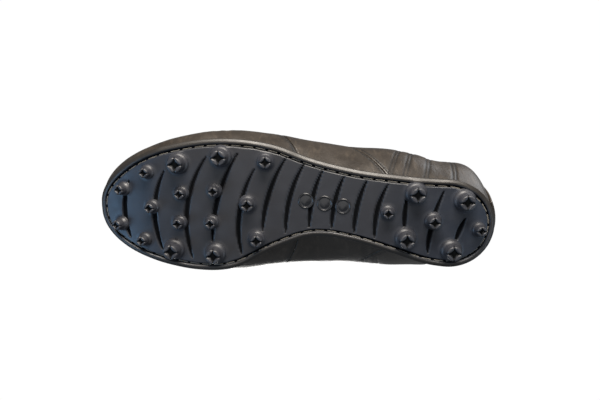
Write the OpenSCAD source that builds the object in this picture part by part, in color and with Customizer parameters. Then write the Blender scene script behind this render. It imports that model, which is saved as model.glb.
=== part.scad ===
// Soccer cleat, left shoe, with a leather upper on a studded moulded outsole.
// Units are millimetres. +X points to the toe, +Y to the outer side, +Z up.

/* [Outsole] */
// Length of the outsole from heel to toe
sole_l = 283; // [240:1:320]
// Width of the outsole at the ball of the foot
ball_w = 93.2; // [80:0.5:110]
// Width of the outsole at its waist
waist_w = 51.5; // [42:0.5:64]
// Width of the outsole at the heel
heel_w = 64; // [54:0.5:76]
// Thickness of the outsole plate
plate_t = 4; // [3.5:0.1:6]
// Height that the waist of the plate arches above the ball
waist_rise = 3.3; // [1:0.1:8]
// Height that the toe of the plate springs up above the ball
toe_spring = 10; // [4:0.5:14]
// Depth of the curved flex grooves in the plate
groove_depth = 1.2; // [0.6:0.1:2]
// Width of the curved flex grooves
groove_w = 2.4; // [1.5:0.1:3.5]
// Distance of the stitching channel from the edge of the plate
channel_inset = 3.4; // [2.8:0.1:5]
// Width of the stitching channel
channel_w = 2.1; // [1.4:0.1:2.4]
// Depth of the stitching channel
channel_depth = 1.7; // [1.4:0.1:2.2]

/* [Studs] */
// Height of the large studs below the plate
large_h = 11.5; // [9:0.5:15]
// Radius of the domed base of a large stud
large_r = 7.8; // [6.5:0.1:9]
// Height of the medium studs
medium_h = 9.5; // [7:0.5:13]
// Radius of the domed base of a medium stud
medium_r = 6.2; // [5.5:0.1:8]
// Height of the small studs
small_h = 8; // [5:0.5:11]
// Radius of the domed base of a small stud
small_r = 5.2; // [4.5:0.1:6.5]
// Depth to which each stud's stem is moulded into the plate
stem_depth = 2.5; // [1.5:0.1:3]
// Gap between a stud and its seat in the plate
stud_fit = 0.05; // [0.02:0.01:0.2]

/* [Upper] */
// Height of the heel collar above the ground
collar_heel_h = 84; // [74:1:96]
// Height of the collar at its lowest point under the ankle
collar_ankle_h = 67; // [60:1:76]
// Height of the instep at the top of the laces
instep_h = 102; // [94:1:116]
// Height of the toe box above the ground
toe_box_h = 49; // [44:1:60]
// Distance that the foot of the upper stands in from the edge of the plate
rim_lip = 3; // [2:0.1:4]
// Thickness of the outer leather
leather_t = 1.4; // [1:0.1:2]
// Thickness of the stiffeners and backing between leather and lining
backing_t = 1.5; // [1:0.1:2.5]
// Thickness of the lining
lining_t = 0.9; // [0.6:0.1:1.4]
// Gap between one layer of the upper and the next
layer_gap = 0.15; // [0.1:0.01:0.3]
// Gap between two panels that meet at a seam
seam_gap = 0.4; // [0.3:0.05:0.8]
// Thickness of the padding in the collar
collar_pad_t = 4.5; // [3:0.5:7]
// Height of the padded band of the collar
collar_pad_h = 15; // [10:1:20]

/* [Tongue and lace] */
// Half of the width of the lacing gap
throat_half_w = 10; // [8:0.5:13]
// Distance of the lace holes from the ridge of the instep
eyelet_offset = 16.5; // [15:0.5:20]
// Number of lace holes on each side
eyelet_count = 6; // [4:1:7]
// Bore of an eyelet
eyelet_bore = 3.9; // [3.2:0.1:4.4]
// Wall of an eyelet
eyelet_wall = 0.5; // [0.3:0.1:0.8]
// Width of the lace
lace_w = 2.5; // [2:0.1:3]
// Thickness of the lace
lace_t = 1.2; // [0.8:0.1:1.6]
// Half of the width of the tongue
tongue_half_w = 27; // [22:0.5:30]
// Thickness of the tongue's padding
tongue_pad_t = 4; // [2.5:0.5:6]
// Depth of the tongue under the inner face of the lining
tongue_depth = 3.7; // [2.3:0.1:4.1]

/* [Footbed] */
// Thickness of the lasting margin and of the filler inside it
filler_t = 1.8; // [1.4:0.1:3]
// Thickness of the insole board
board_t = 1.8; // [1.4:0.1:2.5]
// Thickness of the removable sockliner
sockliner_t = 3.5; // [2:0.5:6]
// Length of the steel shank
shank_l = 96; // [70:1:110]
// Width of the steel shank
shank_w = 13; // [10:0.5:18]
// Thickness of the steel shank
shank_t = 1.2; // [0.8:0.1:1.3]

/* [Hidden] */
$fn = 48;

lateral = 1;
medial = -1;

// Place of the whole shoe, so that the origin is under the middle of its box
origin_shift_y = 4.2;

// Outsole, along its length from heel (0) to toe (1)
sole_heel_x = -sole_l / 2 + 0.9;
sole_half_widths = [[0, heel_w / 2], [0.15, 0.965 * heel_w / 2], [0.25, 0.872 * heel_w / 2],
    [0.35, waist_w / 2], [0.45, 1.08 * waist_w / 2], [0.55, 0.807 * ball_w / 2],
    [0.65, ball_w / 2], [0.75, ball_w / 2], [0.88, 0.83 * ball_w / 2],
    [1, 0.645 * ball_w / 2]];
sole_centres = [[0, -16.5], [0.15, -14.9], [0.25, -9.4], [0.35, -3.6], [0.45, 1.1], [0.55, 1.4],
    [0.65, -3.5], [0.75, -5], [0.88, -5.4], [1, -8]];
heel_axis_y = -16;
toe_axis_y = -7;
heel_round = 34;
toe_round = 55;
toe_power = 2.4;
heel_flat = [0.06, 0.24];
ball_flat = [0.67, 0.83];
waist_peak = 0.45;
spring_power = 1.8;

// How far the upper swells past the edge of the plate, from heel to toe
swell_lateral = [[0, 22], [0.1, 9.5], [0.18, 14], [0.25, 16], [0.35, 14], [0.45, 11.5],
    [0.55, 7], [0.65, 6.5], [0.75, 6], [0.88, 5], [1, 9]];
swell_medial = [[0, 4], [0.1, 8], [0.18, 14], [0.25, 21.5], [0.35, 28], [0.45, 30], [0.55, 20.5],
    [0.65, 8.5], [0.75, 5], [0.88, 3.5], [1, 2]];
ridge_bias = -3;
swell_angle = 18;
section_y_power = 0.72;
section_z_power = 0.86;
ridge_heights = [[0, collar_heel_h + 40], [0.34, instep_h + 16], [0.44, instep_h + 2],
    [0.54, instep_h - 15], [0.66, toe_box_h + 21], [0.76, toe_box_h + 10],
    [0.88, toe_box_h], [1, toe_box_h - 10]];
nose_round = 34;
heel_bulge_h = 40;
heel_curve = 6;
heel_bulge = 3;
heel_curve_reach = 60;
collar_heights = [[0, collar_heel_h], [0.08, collar_heel_h - 1.5], [0.19, collar_heel_h - 11],
    [0.29, collar_ankle_h], [0.36, collar_ankle_h + 5], [0.415, collar_ankle_h + 16],
    [0.6, instep_h + 20], [1, instep_h + 60]];
tip_gap = 0.05;

// Seams, in mm from the middle of the sole
throat_front_x = 46;
tongue_gap = 2.05;
tongue_root_l = 14;
tongue_front_share = 0.72;
vamp_seam_x = -4;
quarter_seam_foot_x = -68;
quarter_seam_top_x = -22;
quarter_seam_turn = 42;
heel_lining_x = -78;
counter_x = -82;
toe_puff_x = 92;
collar_front_x = -25;
lining_rise_l = 20;
tongue_front_x = 50;
tongue_top_x = -46;
backstay_reach = 3.2;

// Depths of the layers below the outer face of the leather
backing_d = leather_t + layer_gap;
stiffener_d = backing_d + 0.1;
stiffener_t = backing_t - 0.35;
pad_d = backing_d + 0.6;
lining_d = backing_d + backing_t + layer_gap;
inside_d = lining_d + lining_t;

// Heights of the layers of the bottom above the plate
margin_z = layer_gap;
board_z = margin_z + filler_t + layer_gap;
sock_z = board_z + board_t + layer_gap;

// Each stud: share of the length from the heel, share of the half width from the middle
large_studs = [[0.783, 0.69], [0.802, -0.7], [0.676, 0.74], [0.696, -0.72], [0.197, 0.64],
    [0.219, -0.51], [0.079, 0.59], [0.105, -0.59]];
medium_studs = [[0.567, 0.68], [0.612, -0.02], [0.591, -0.66], [0.153, 0.05]];
small_studs = [[0.928, 0.45], [0.94, -0.44], [0.862, 0.64], [0.877, -0.64], [0.853, 0],
    [0.778, 0.22], [0.785, -0.25], [0.694, 0.24], [0.703, -0.24], [0.264, 0.04], [0.04, -0.12]];
arch_disc_places = [[0.467, -0.07], [0.42, -0.09], [0.374, -0.07]];
disc_r = 5.6;
disc_t = 1.5;
disc_proud = 0.7;

// Each groove: share of the length, radius, then shares of the half width where it lies
// square to the length, starts and ends
grooves = [[0.93, 55, -0.1, 0.67, -0.76], [0.849, 68, -0.17, 0.65, -0.79],
    [0.769, 85, -0.3, 0.8, -0.82], [0.704, 120, -0.59, 0.8, -0.55], [0.637, 85, -0.41, 0.56, -0.8],
    [0.577, 105, -0.7, 0.74, -0.58], [0.518, 93, -0.7, 0.74, -0.76], [0.459, 95, -0.76, 0.7, -0.76],
    [0.402, 90, -0.76, 0.7, -0.76], [0.346, 90, -0.76, 0.74, -0.76], [0.295, 70, -0.55, 0.72, -0.74],
    [0.222, 150, -0.1, 0.5, -0.3], [0.162, 110, -0.74, 0.74, -0.74], [0.101, 70, -0.9, 0.15, -0.37]];

stitch_pitch = 8.6;
stitch_l = 6.4;
stitch_r = 0.5;
thread_gap = 0.2;

// ---------- curves ----------

// Smooth curve through the points of a table of [place, value]
function slope(t, k) =
    k == 0 ? (t[1][1] - t[0][1]) / (t[1][0] - t[0][0])
    : k == len(t) - 1 ? (t[k][1] - t[k - 1][1]) / (t[k][0] - t[k - 1][0])
    : (t[k + 1][1] - t[k - 1][1]) / (t[k + 1][0] - t[k - 1][0]);
function smooth(t, f) =
    let (i = max([for (k = [0 : len(t) - 2]) (f >= t[k][0] || k == 0) ? k : 0]),
        h = t[i + 1][0] - t[i][0],
        s = (f - t[i][0]) / h)
    (2 * pow(s, 3) - 3 * s * s + 1) * t[i][1] + (pow(s, 3) - 2 * s * s + s) * h * slope(t, i)
    + (3 * s * s - 2 * pow(s, 3)) * t[i + 1][1] + (pow(s, 3) - s * s) * h * slope(t, i + 1);
function unit(v) = min(1, max(0, v));
function mix(a, b, s) = a + (b - a) * s;
function ease(s) = s * s * (3 - 2 * s);

// ---------- outsole shape ----------

function share(x) = (x - sole_heel_x) / sole_l;
function at_share(f) = sole_heel_x + f * sole_l;
function heel_end(x) = let (s = unit((x - sole_heel_x) / heel_round)) sqrt(max(0, 1 - pow(1 - s, 2)));
function toe_end(x) =
    let (s = unit((sole_heel_x + sole_l - x) / toe_round))
    pow(max(0, 1 - pow(1 - s, toe_power)), 1 / toe_power);
function rounded(x, y) =
    share(x) < 0.5 ? mix(heel_axis_y, y, heel_end(x)) : mix(toe_axis_y, y, toe_end(x));
function edge_y(x, side, swell = 0) =
    smooth(sole_centres, share(x)) + side * (smooth(sole_half_widths, share(x)) + swell);
// Edge of the plate, drawn in by an inset that is even all round it
function inset_x(x, inset) = sole_heel_x + inset + (x - sole_heel_x) * (1 - 2 * inset / sole_l);
function plate_edge(x, side, inset) = [inset_x(x, inset), rounded(x, edge_y(x, side, -inset))];
function plate_y(f, s) =
    let (x = at_share(f), a = rounded(x, edge_y(x, lateral)), b = rounded(x, edge_y(x, medial)))
    (a + b) / 2 + s * (a - b) / 2;

// Underside of the plate: flat under the heel and the ball, arched at the waist
function plate_z(x) =
    let (f = share(x))
    large_h
    + waist_rise * (f < waist_peak
        ? ease(unit((f - heel_flat[1]) / (waist_peak - heel_flat[1])))
        : ease(unit((ball_flat[0] - f) / (ball_flat[0] - waist_peak))))
    + toe_spring * pow(unit((f - ball_flat[1]) / (1 - ball_flat[1])), spring_power)
    + pow(unit((heel_flat[0] - f) / heel_flat[0]), 2);
function plate_angle(x) = atan((plate_z(x + 1) - plate_z(x - 1)) / 2);

outline_steps = 34;
function station(k, n) = sole_heel_x + sole_l * (1 - cos(180 * k / n)) / 2;
function outline(inset) = concat(
    [for (k = [0 : outline_steps]) plate_edge(station(k, outline_steps), lateral, inset)],
    [for (k = [outline_steps - 1 : -1 : 1]) plate_edge(station(k, outline_steps), medial, inset)]);

// Slice of the shoe's length between two heights above the underside of the plate
profile_steps = 40;
side_reach = 90;
module layer(low, high) {
    xs = [for (k = [0 : profile_steps]) sole_heel_x - 2 + (sole_l + 4) * k / profile_steps];
    rotate([90, 0, 0])
        linear_extrude(2 * side_reach, center = true)
            polygon(concat([for (x = xs) [x, plate_z(x) + low]],
                [for (k = [profile_steps : -1 : 0]) [xs[k], plate_z(xs[k]) + high]]));
}
module slab(inset, low, high) {
    intersection() {
        linear_extrude(80) polygon(outline(inset));
        layer(low, high);
    }
}
module slab_ring(inset, w, low, high) {
    intersection() {
        linear_extrude(80)
            difference() {
                polygon(outline(inset));
                polygon(outline(inset + w));
            }
        layer(low, high);
    }
}
// Puts a piece on the underside of the plate, pointing down, at its share of the plate
module on_plate(place) {
    x = at_share(place[0]);
    translate([x, plate_y(place[0], place[1]), plate_z(x)])
        rotate([0, -plate_angle(x), 0])
            mirror([0, 0, 1]) children();
}

// ---------- upper shape ----------

// Height of the ridge of the last, and the point of the outer skin at a station x and an
// angle w round the foot (0 is the ridge, 90 the lateral and -90 the medial foot edge),
// at a depth d below the skin
function top_of_plate(x) = plate_z(x) + plate_t + layer_gap;
function nose(x) =
    let (s = unit((sole_heel_x + sole_l - x) / nose_round))
    pow(max(0, 1 - pow(1 - s, 2.3)), 1 / 2.3);
function upper_edge(x, side) =
    edge_y(x, side, smooth(side == lateral ? swell_lateral : swell_medial, share(x)));
function ridge_y(x) = (upper_edge(x, lateral) + upper_edge(x, medial)) / 2 + ridge_bias;
function rise(x, d) = (smooth(ridge_heights, share(x)) - d - top_of_plate(x)) * nose(x);
function skin(x, w, d) =
    let (t = 90 - abs(w),
        side = w >= 0 ? lateral : medial,
        foot = pow(1 - unit(t / swell_angle), 2),
        across = mix(upper_edge(x, side), edge_y(x, side, -rim_lip), foot) - side * d,
        y = rounded(x, mix(ridge_y(x), across, pow(cos(t), section_y_power))),
        z = top_of_plate(x) + rise(x, d) * pow(sin(t), section_z_power),
        near_heel = pow(1 - unit((x - sole_heel_x) / heel_curve_reach), 2),
        back = near_heel * (heel_curve * pow((z - heel_bulge_h) / 40, 2) - heel_bulge))
    [sole_heel_x + d + (x - sole_heel_x) * (1 - 2 * d / sole_l) + back, y, z];
// Angle at which the skin reaches a height, and at which it is a distance from the ridge
function angle_at_height(x, z) =
    90 - asin(pow(unit((z - top_of_plate(x)) / rise(x, 0)), 1 / section_z_power));
function angle_at_offset(x, side, off) =
    90 - acos(pow(unit(off / abs(upper_edge(x, side) - ridge_y(x))), 1 / section_y_power));
function skin_normal(x, w, d) =
    let (n = cross(skin(x + 1, w, d) - skin(x - 1, w, d), skin(x, w + 1, d) - skin(x, w - 1, d)))
    n / norm(n);

collar_angle_of = function (x) collar_angle(x);
function collar_angle(x) = angle_at_height(x, smooth(collar_heights, share(x)));
function throat_angle(x, side) = angle_at_offset(x, side, throat_half_w);

// Seam between vamp and middle panel, and between middle panel and quarter
function vamp_seam(w) = mix(throat_front_x, vamp_seam_x, pow(abs(w) / 90, 1.6));
function quarter_seam(w) =
    mix(quarter_seam_top_x, quarter_seam_foot_x,
        pow(unit((abs(w) - quarter_seam_turn) / (90 - quarter_seam_turn)), 2.2));

// Closed shell between an outer and an inner grid of points of the same size
module shell(outer, inner) {
    n = len(outer);
    m = len(outer[0]);
    points = concat([for (row = outer) each row], [for (row = inner) each row]);
    function o(i, j) = i * m + j;
    function q(i, j) = n * m + i * m + j;
    faces = concat(
        [for (i = [0 : n - 2]) for (j = [0 : m - 2])
            each [[o(i, j), o(i, j + 1), o(i + 1, j + 1)], [o(i, j), o(i + 1, j + 1), o(i + 1, j)],
                [q(i, j), q(i + 1, j + 1), q(i, j + 1)], [q(i, j), q(i + 1, j), q(i + 1, j + 1)]]],
        [for (i = [0 : n - 2])
            each [[o(i, 0), o(i + 1, 0), q(i + 1, 0)], [o(i, 0), q(i + 1, 0), q(i, 0)],
                [o(i, m - 1), q(i + 1, m - 1), o(i + 1, m - 1)],
                [o(i, m - 1), q(i, m - 1), q(i + 1, m - 1)]]],
        [for (j = [0 : m - 2])
            each [[o(0, j), q(0, j + 1), o(0, j + 1)], [o(0, j), q(0, j), q(0, j + 1)],
                [o(n - 1, j), o(n - 1, j + 1), q(n - 1, j + 1)],
                [o(n - 1, j), q(n - 1, j + 1), q(n - 1, j)]]]);
    polyhedron(points, faces);
}

settle_steps = 10;
// Place on a side panel: finds the station and angle at shares a (rear to front) and b
// (foot edge to top edge), where the seams lean with the angle
function settle(a, b, rear, front, top, w, n) =
    let (x = mix(rear(w), front(w), a), next = mix(90, top(x), b))
    n == 0 ? [x, next] : settle(a, b, rear, front, top, mix(w, next, 0.6), n - 1);
function side_grid(side, rear, front, top, d, na, nb, round_rear) =
    [for (i = [0 : na]) [for (j = [0 : nb])
        let (p = settle(round_rear ? 1 - cos(90 * i / na) : i / na, j / nb, rear, front, top, 60, settle_steps)) skin(p[0], side * p[1], d)]];
module side_panel(side, rear, front, top, d, t, na = 12, nb = 9, round_rear = false) {
    outer = side_grid(side, rear, front, top, d, na, nb, round_rear);
    inner = side_grid(side, rear, front, top, d + t, na, nb, round_rear);
    if (side == lateral) shell(inner, outer);
    else shell(outer, inner);
}
// Piece over the ridge: from a rear seam to a front edge, between two angles
function over_grid(rear, front, angle, d, na, nb) =
    [for (i = [0 : na]) [for (j = [0 : nb])
        let (q = mix(1, -1, j / nb),
            a = sin(90 * i / na),
            w0 = q * angle(rear(90 * abs(q)), q >= 0 ? lateral : medial),
            x = mix(rear(w0), front, a),
            w = q * angle(x, q >= 0 ? lateral : medial))
        skin(x, w, d)]];
module over_panel(rear, front, angle, d, t, na = 14, nb = 24) {
    shell(over_grid(rear, front, angle, d + t, na, nb), over_grid(rear, front, angle, d, na, nb));
}
// Piece round the back of the heel, from medial front to lateral front
function heel_grid(reach, low, high, d, na, nb) =
    [for (i = [-na : na]) [for (j = [0 : nb])
        let (x = mix(sole_heel_x, reach, 1 - cos(90 * abs(i) / na)),
            w = mix(low(x), high(x), j / nb))
        skin(x, i < 0 ? -w : w, d)]];
module heel_panel(reach, low, high, d, t, na = 8, nb = 7) {
    shell(heel_grid(reach, low, high, d + t, na, nb), heel_grid(reach, low, high, d, na, nb));
}

// ---------- outsole and what is moulded or sewn into it ----------

module stud_seat(r) {
    translate([0, 0, -stem_depth - 0.1]) cylinder(r = r * 0.62 + stud_fit, h = stem_depth + 1);
    translate([0, 0, -seat_depth]) cylinder(r = r + stud_fit, h = seat_depth + 1);
}
seat_depth = 0.4;
module each_stud(places) {
    for (p = places) on_plate(p) children();
}
groove_steps = 14;
module groove(g) {
    cx = at_share(g[0]) - g[1];
    cy = plate_y(g[0], g[2]);
    top = asin((plate_y(g[0], g[3]) - cy) / g[1]);
    bottom = asin((plate_y(g[0], g[4]) - cy) / g[1]);
    function arc(r) = [for (k = [0 : groove_steps])
        let (a = mix(bottom, top, k / groove_steps)) [cx + r * cos(a), cy + r * sin(a)]];
    outer = arc(g[1] + groove_w / 2);
    inner = arc(g[1] - groove_w / 2);
    linear_extrude(60) polygon(concat(outer, [for (k = [groove_steps : -1 : 0]) inner[k]]));
}
module outsole() {
    color([0.2, 0.22, 0.26])
        difference() {
            slab(0, 0, plate_t);
            slab_ring(channel_inset, channel_w, -1, channel_depth);
            intersection() {
                for (g = grooves) groove(g);
                layer(-1, groove_depth);
            }
            each_stud(large_studs) stud_seat(large_r);
            each_stud(medium_studs) stud_seat(medium_r);
            each_stud(small_studs) stud_seat(small_r);
            each_stud(arch_disc_places)
                translate([0, 0, disc_proud - disc_t - stud_fit]) cylinder(r = disc_r + stud_fit, h = 5);
        }
}

// Stud: a stem in the plate, a domed base, a shaft and a tip with a cross-shaped recess
module stud(r, h) {
    tip_r = r * 0.64;
    waist_r = r * 0.74;
    base_h = h * 0.26;
    cross_w = tip_r * 0.42;
    cross_l = tip_r * 1.3;
    difference() {
        rotate_extrude()
            polygon([[0, -stem_depth], [r * 0.62, -stem_depth], [r * 0.62, -seat_depth],
                [r, -seat_depth], [r, base_h * 0.35], [r * 0.95, base_h * 0.7], [waist_r, base_h * 1.15],
                [tip_r * 1.05, h - 1.2], [tip_r, h - 0.5], [tip_r - 0.5, h], [0, h]]);
        for (a = [0, 90])
            rotate([0, 0, a])
                translate([-cross_l / 2, -cross_w / 2, h - 1]) cube([cross_l, cross_w, 2]);
    }
}
module studs_large() {
    color([0.24, 0.26, 0.3]) each_stud(large_studs) stud(large_r, large_h);
}
module studs_medium() {
    color([0.24, 0.26, 0.3]) each_stud(medium_studs) stud(medium_r, medium_h);
}
module studs_small() {
    color([0.24, 0.26, 0.3]) each_stud(small_studs) stud(small_r, small_h);
}
// Disc let into the arch, with a shallow dish in its face
module arch_discs() {
    color([0.12, 0.13, 0.16])
        each_stud(arch_disc_places)
            difference() {
                translate([0, 0, disc_proud - disc_t]) cylinder(r = disc_r, h = disc_t);
                translate([0, 0, disc_proud - 0.4]) cylinder(r = disc_r - 1.1, h = 1);
            }
}
// Lock stitches that lie in the channel round the plate
module sole_thread() {
    thread_inset = channel_inset + channel_w / 2;
    path = outline(thread_inset);
    n = len(path);
    ends = [for (k = [0 : n]) path[k % n]];
    lengths = [for (k = [0 : n - 1]) norm(ends[k + 1] - ends[k])];
    function run(k) = k == 0 ? 0 : run(k - 1) + lengths[k - 1];
    runs = [for (k = [0 : n]) run(k)];
    function point_at(s) =
        let (k = max([for (j = [0 : n - 1]) runs[j] <= s ? j : 0]))
        mix(ends[k], ends[k + 1], (s - runs[k]) / lengths[k]);
    // Both sides start and end in a gap, so that no stitch lies over the tip of the toe or heel
    function side_places(from, to) =
        let (count = floor((to - from) / stitch_pitch))
        [for (i = [0 : count - 1]) mix(from, to, (i + 0.5) / count)];
    color([0.55, 0.53, 0.48])
        for (s = concat(side_places(0, runs[outline_steps]), side_places(runs[outline_steps], runs[n]))) {
            from = point_at(s - stitch_l / 2);
            to = point_at(s + stitch_l / 2);
            p = (from + to) / 2;
            dir = (to - from) / norm(to - from);
            translate([p[0], p[1], plate_z(p[0]) + channel_depth - stitch_r - thread_gap])
                rotate([0, -plate_angle(p[0]) * dir[0], atan2(dir[1], dir[0])])
                    rotate([0, 90, 0]) cylinder(r = stitch_r, h = stitch_l, center = true, $fn = 16);
        }
}

// ---------- bottom of the shoe, inside the upper ----------

inside_inset = rim_lip + inside_d + 0.4;
margin_w = 12;
module shank_shape(grow) {
    intersection() {
        translate([at_share(0.38) - shank_l / 2 - grow, plate_y(0.38, 0) - shank_w / 2 - grow, 0])
            cube([shank_l + 2 * grow, shank_w + 2 * grow, 60]);
        layer(plate_t + margin_z + (grow > 0 ? -1 : 0.05), plate_t + margin_z + 0.05 + shank_t + grow);
    }
}
module shank() {
    color([0.6, 0.6, 0.62]) shank_shape(0);
}
module bottom_filler() {
    color([0.55, 0.42, 0.28])
        difference() {
            slab(inside_inset + margin_w + 0.3, plate_t + margin_z, plate_t + margin_z + filler_t);
            shank_shape(0.15);
        }
}
module lasting_margin() {
    color([0.12, 0.11, 0.1])
        difference() {
            slab_ring(inside_inset, margin_w, plate_t + margin_z, plate_t + margin_z + filler_t);
            shank_shape(0.15);
        }
}
module insole_board() {
    color([0.62, 0.5, 0.36]) slab(inside_inset, plate_t + board_z, plate_t + board_z + board_t);
}
module sockliner() {
    color([0.16, 0.16, 0.17])
        slab(inside_inset + 0.3, plate_t + sock_z, plate_t + sock_z + sockliner_t);
}

// ---------- upper ----------

black = [0.13, 0.12, 0.11];
toe_x = sole_heel_x + sole_l - tip_gap;
to_foot = function (x, side) 90;
module vamp() {
    color(black)
        over_panel(function (w) vamp_seam(w) + seam_gap, toe_x, to_foot, 0, leather_t, 16, 28);
}
module toe_puff() {
    color([0.75, 0.72, 0.65])
        over_panel(function (w) toe_puff_x, toe_x, to_foot, stiffener_d, stiffener_t, 10, 22);
}
module vamp_lining() {
    color([0.3, 0.29, 0.28])
        over_panel(function (w) vamp_seam(w) + seam_gap, toe_x, to_foot, lining_d, lining_t, 14, 24);
}
// The middle panels carry the lace holes
hole_h = 12;
module at_hole(i, side) {
    n = hole_axis(i, side);
    translate(skin(eyelet_at(i), hole_angle(i, side), 0))
        rotate([0, acos(n[2]), atan2(n[1], n[0])]) children();
}
eyelet_front_x = 36;
eyelet_rear_x = -14;
function eyelet_at(i) = mix(eyelet_front_x, eyelet_rear_x, i / (eyelet_count - 1));
function hole_angle(i, side) = side * angle_at_offset(eyelet_at(i), side, eyelet_offset);
function hole_axis(i, side) = skin_normal(eyelet_at(i), hole_angle(i, side), 0);
module lace_holes(side) {
    for (i = [0 : eyelet_count - 1])
        at_hole(i, side)
            cylinder(r = eyelet_bore / 2 + eyelet_wall + 0.1, h = hole_h, center = true, $fn = 24);
}
module midpanel(side) {
    color(black)
        difference() {
            side_panel(side, function (w) quarter_seam(w) + seam_gap / 2, function (w) vamp_seam(w),
                function (x) throat_angle(x, side), 0, leather_t, 12, 9);
            lace_holes(side);
        }
}
module midpanel_lateral() midpanel(lateral);
module midpanel_medial() midpanel(medial);
module quarter(side) {
    color(black)
        side_panel(side, function (w) sole_heel_x + tip_gap, function (w) quarter_seam(w) - seam_gap / 2,
            collar_angle_of, 0, leather_t, 18, 9, true);
}
module quarter_lateral() quarter(lateral);
module quarter_medial() quarter(medial);
module backstay() {
    color(black)
        heel_panel(sole_heel_x + backstay_reach, function (x) 88, function (x) collar_angle(x) + 0.5,
            -leather_t - layer_gap, leather_t, 4, 10);
}
module heel_counter() {
    color([0.72, 0.7, 0.66])
        heel_panel(counter_x, function (x) 90, function (x) mix(90, collar_angle(x), 0.62),
            stiffener_d, stiffener_t, 10, 6);
}
// Angle at which the padded band of the collar starts, a set height under its edge
function pad_angle(x) = angle_at_height(x, smooth(collar_heights, share(x)) - collar_pad_h);
module collar_foam() {
    color([0.5, 0.5, 0.48])
        heel_panel(collar_front_x, function (x) pad_angle(x), function (x) collar_angle(x) + 0.8,
            pad_d, collar_pad_t, 12, 4);
}
module collar_lining() {
    color([0.3, 0.29, 0.28])
        heel_panel(collar_front_x, function (x) pad_angle(x), function (x) collar_angle(x) + 0.4,
            pad_d + collar_pad_t + layer_gap, lining_t, 12, 4);
}
module heel_lining() {
    color([0.33, 0.31, 0.28])
        heel_panel(heel_lining_x, function (x) 90, function (x) pad_angle(x) + 1.2,
            lining_d, lining_t, 9, 6);
}
// The lining's top edge climbs from under the padded band to the lacing gap
module quarter_lining(side) {
    function top(x) = mix(pad_angle(min(x, collar_front_x)) + 1.2, throat_angle(x, side),
        ease(unit((x - collar_front_x) / lining_rise_l)));
    function grid(d) = [for (i = [0 : 18]) [for (j = [0 : 8])
        let (seam = vamp_seam(mix(90, throat_angle(throat_front_x, side), j / 8)) - seam_gap,
            x = mix(heel_lining_x + seam_gap, seam, i / 18))
        skin(x, side * mix(90, top(x), j / 8), d)]];
    color([0.3, 0.29, 0.28])
        difference() {
            if (side == lateral) shell(grid(lining_d + lining_t), grid(lining_d));
            else shell(grid(lining_d), grid(lining_d + lining_t));
            lace_holes(side);
        }
}
module quarter_lining_lateral() quarter_lining(lateral);
module quarter_lining_medial() quarter_lining(medial);
// Strip that backs the lace holes, between the leather and the lining
eyestay_w = 13;
eyestay_t = 0.9;
eyestay_d = backing_d + 0.4;
module eyestay(side) {
    color([0.2, 0.19, 0.18])
        difference() {
            shell_side(side, eyelet_front_x + 5, eyelet_rear_x - 5);
            lace_holes(side);
        }
}
module shell_side(side, front, rear) {
    function grid(d) = [for (i = [0 : 10]) [for (j = [0 : 3])
        let (x = mix(rear, front, i / 10),
            off = mix(throat_half_w + eyestay_w, throat_half_w, j / 3))
        skin(x, side * angle_at_offset(x, side, off), d)]];
    if (side == lateral) shell(grid(eyestay_d + eyestay_t), grid(eyestay_d));
    else shell(grid(eyestay_d), grid(eyestay_d + eyestay_t));
}
module eyestay_lateral() eyestay(lateral);
module eyestay_medial() eyestay(medial);
module eyelets() {
    color([0.08, 0.08, 0.09])
        for (side = [lateral, medial])
            for (i = [0 : eyelet_count - 1])
                at_hole(i, side)
                    difference() {
                        union() {
                            translate([0, 0, -inside_d + 0.3])
                                cylinder(r = eyelet_bore / 2 + eyelet_wall, h = inside_d + 0.4, $fn = 24);
                            translate([0, 0, 0.2])
                                cylinder(r = eyelet_bore / 2 + 1.3, h = 0.5, $fn = 24);
                        }
                        cylinder(r = eyelet_bore / 2, h = hole_h, center = true, $fn = 24);
                    }
}

// ---------- tongue ----------

// Strip along the ridge, from the front of the tongue to its rounded top. Its front end
// rises to the underside of the vamp, where the tongue is sewn on.
tongue_corner = 16;
function tongue_half(x) =
    let (s = unit((x - tongue_top_x) / tongue_corner))
    tongue_half_w * mix(1, tongue_front_share, unit(x / tongue_front_x)) * mix(0.62, 1, sqrt(1 - pow(1 - s, 2)));
function tongue_face_d(x) =
    inside_d + mix(tongue_depth, tongue_gap, ease(unit((x - tongue_front_x + tongue_root_l) / tongue_root_l)));
module tongue_layer(d, t, trim) {
    function grid(depth) = [for (i = [0 : 14]) [for (j = [0 : 10])
        let (x = mix(tongue_top_x + trim, tongue_front_x - trim, 1 - cos(90 * i / 14)),
            q = mix(1, -1, j / 10),
            side = q >= 0 ? lateral : medial)
        skin(x, q * angle_at_offset(x, side, tongue_half(x) - trim), tongue_face_d(x) + depth)]];
    shell(grid(d + t), grid(d));
}
module tongue_leather() {
    color(black) tongue_layer(0, leather_t, 0);
}
module tongue_foam() {
    color([0.5, 0.5, 0.48]) tongue_layer(leather_t + layer_gap, tongue_pad_t, 2);
}
module tongue_lining() {
    color([0.3, 0.29, 0.28]) tongue_layer(leather_t + tongue_pad_t + 2 * layer_gap, lining_t, 0);
}
// ---------- lace ----------

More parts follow.
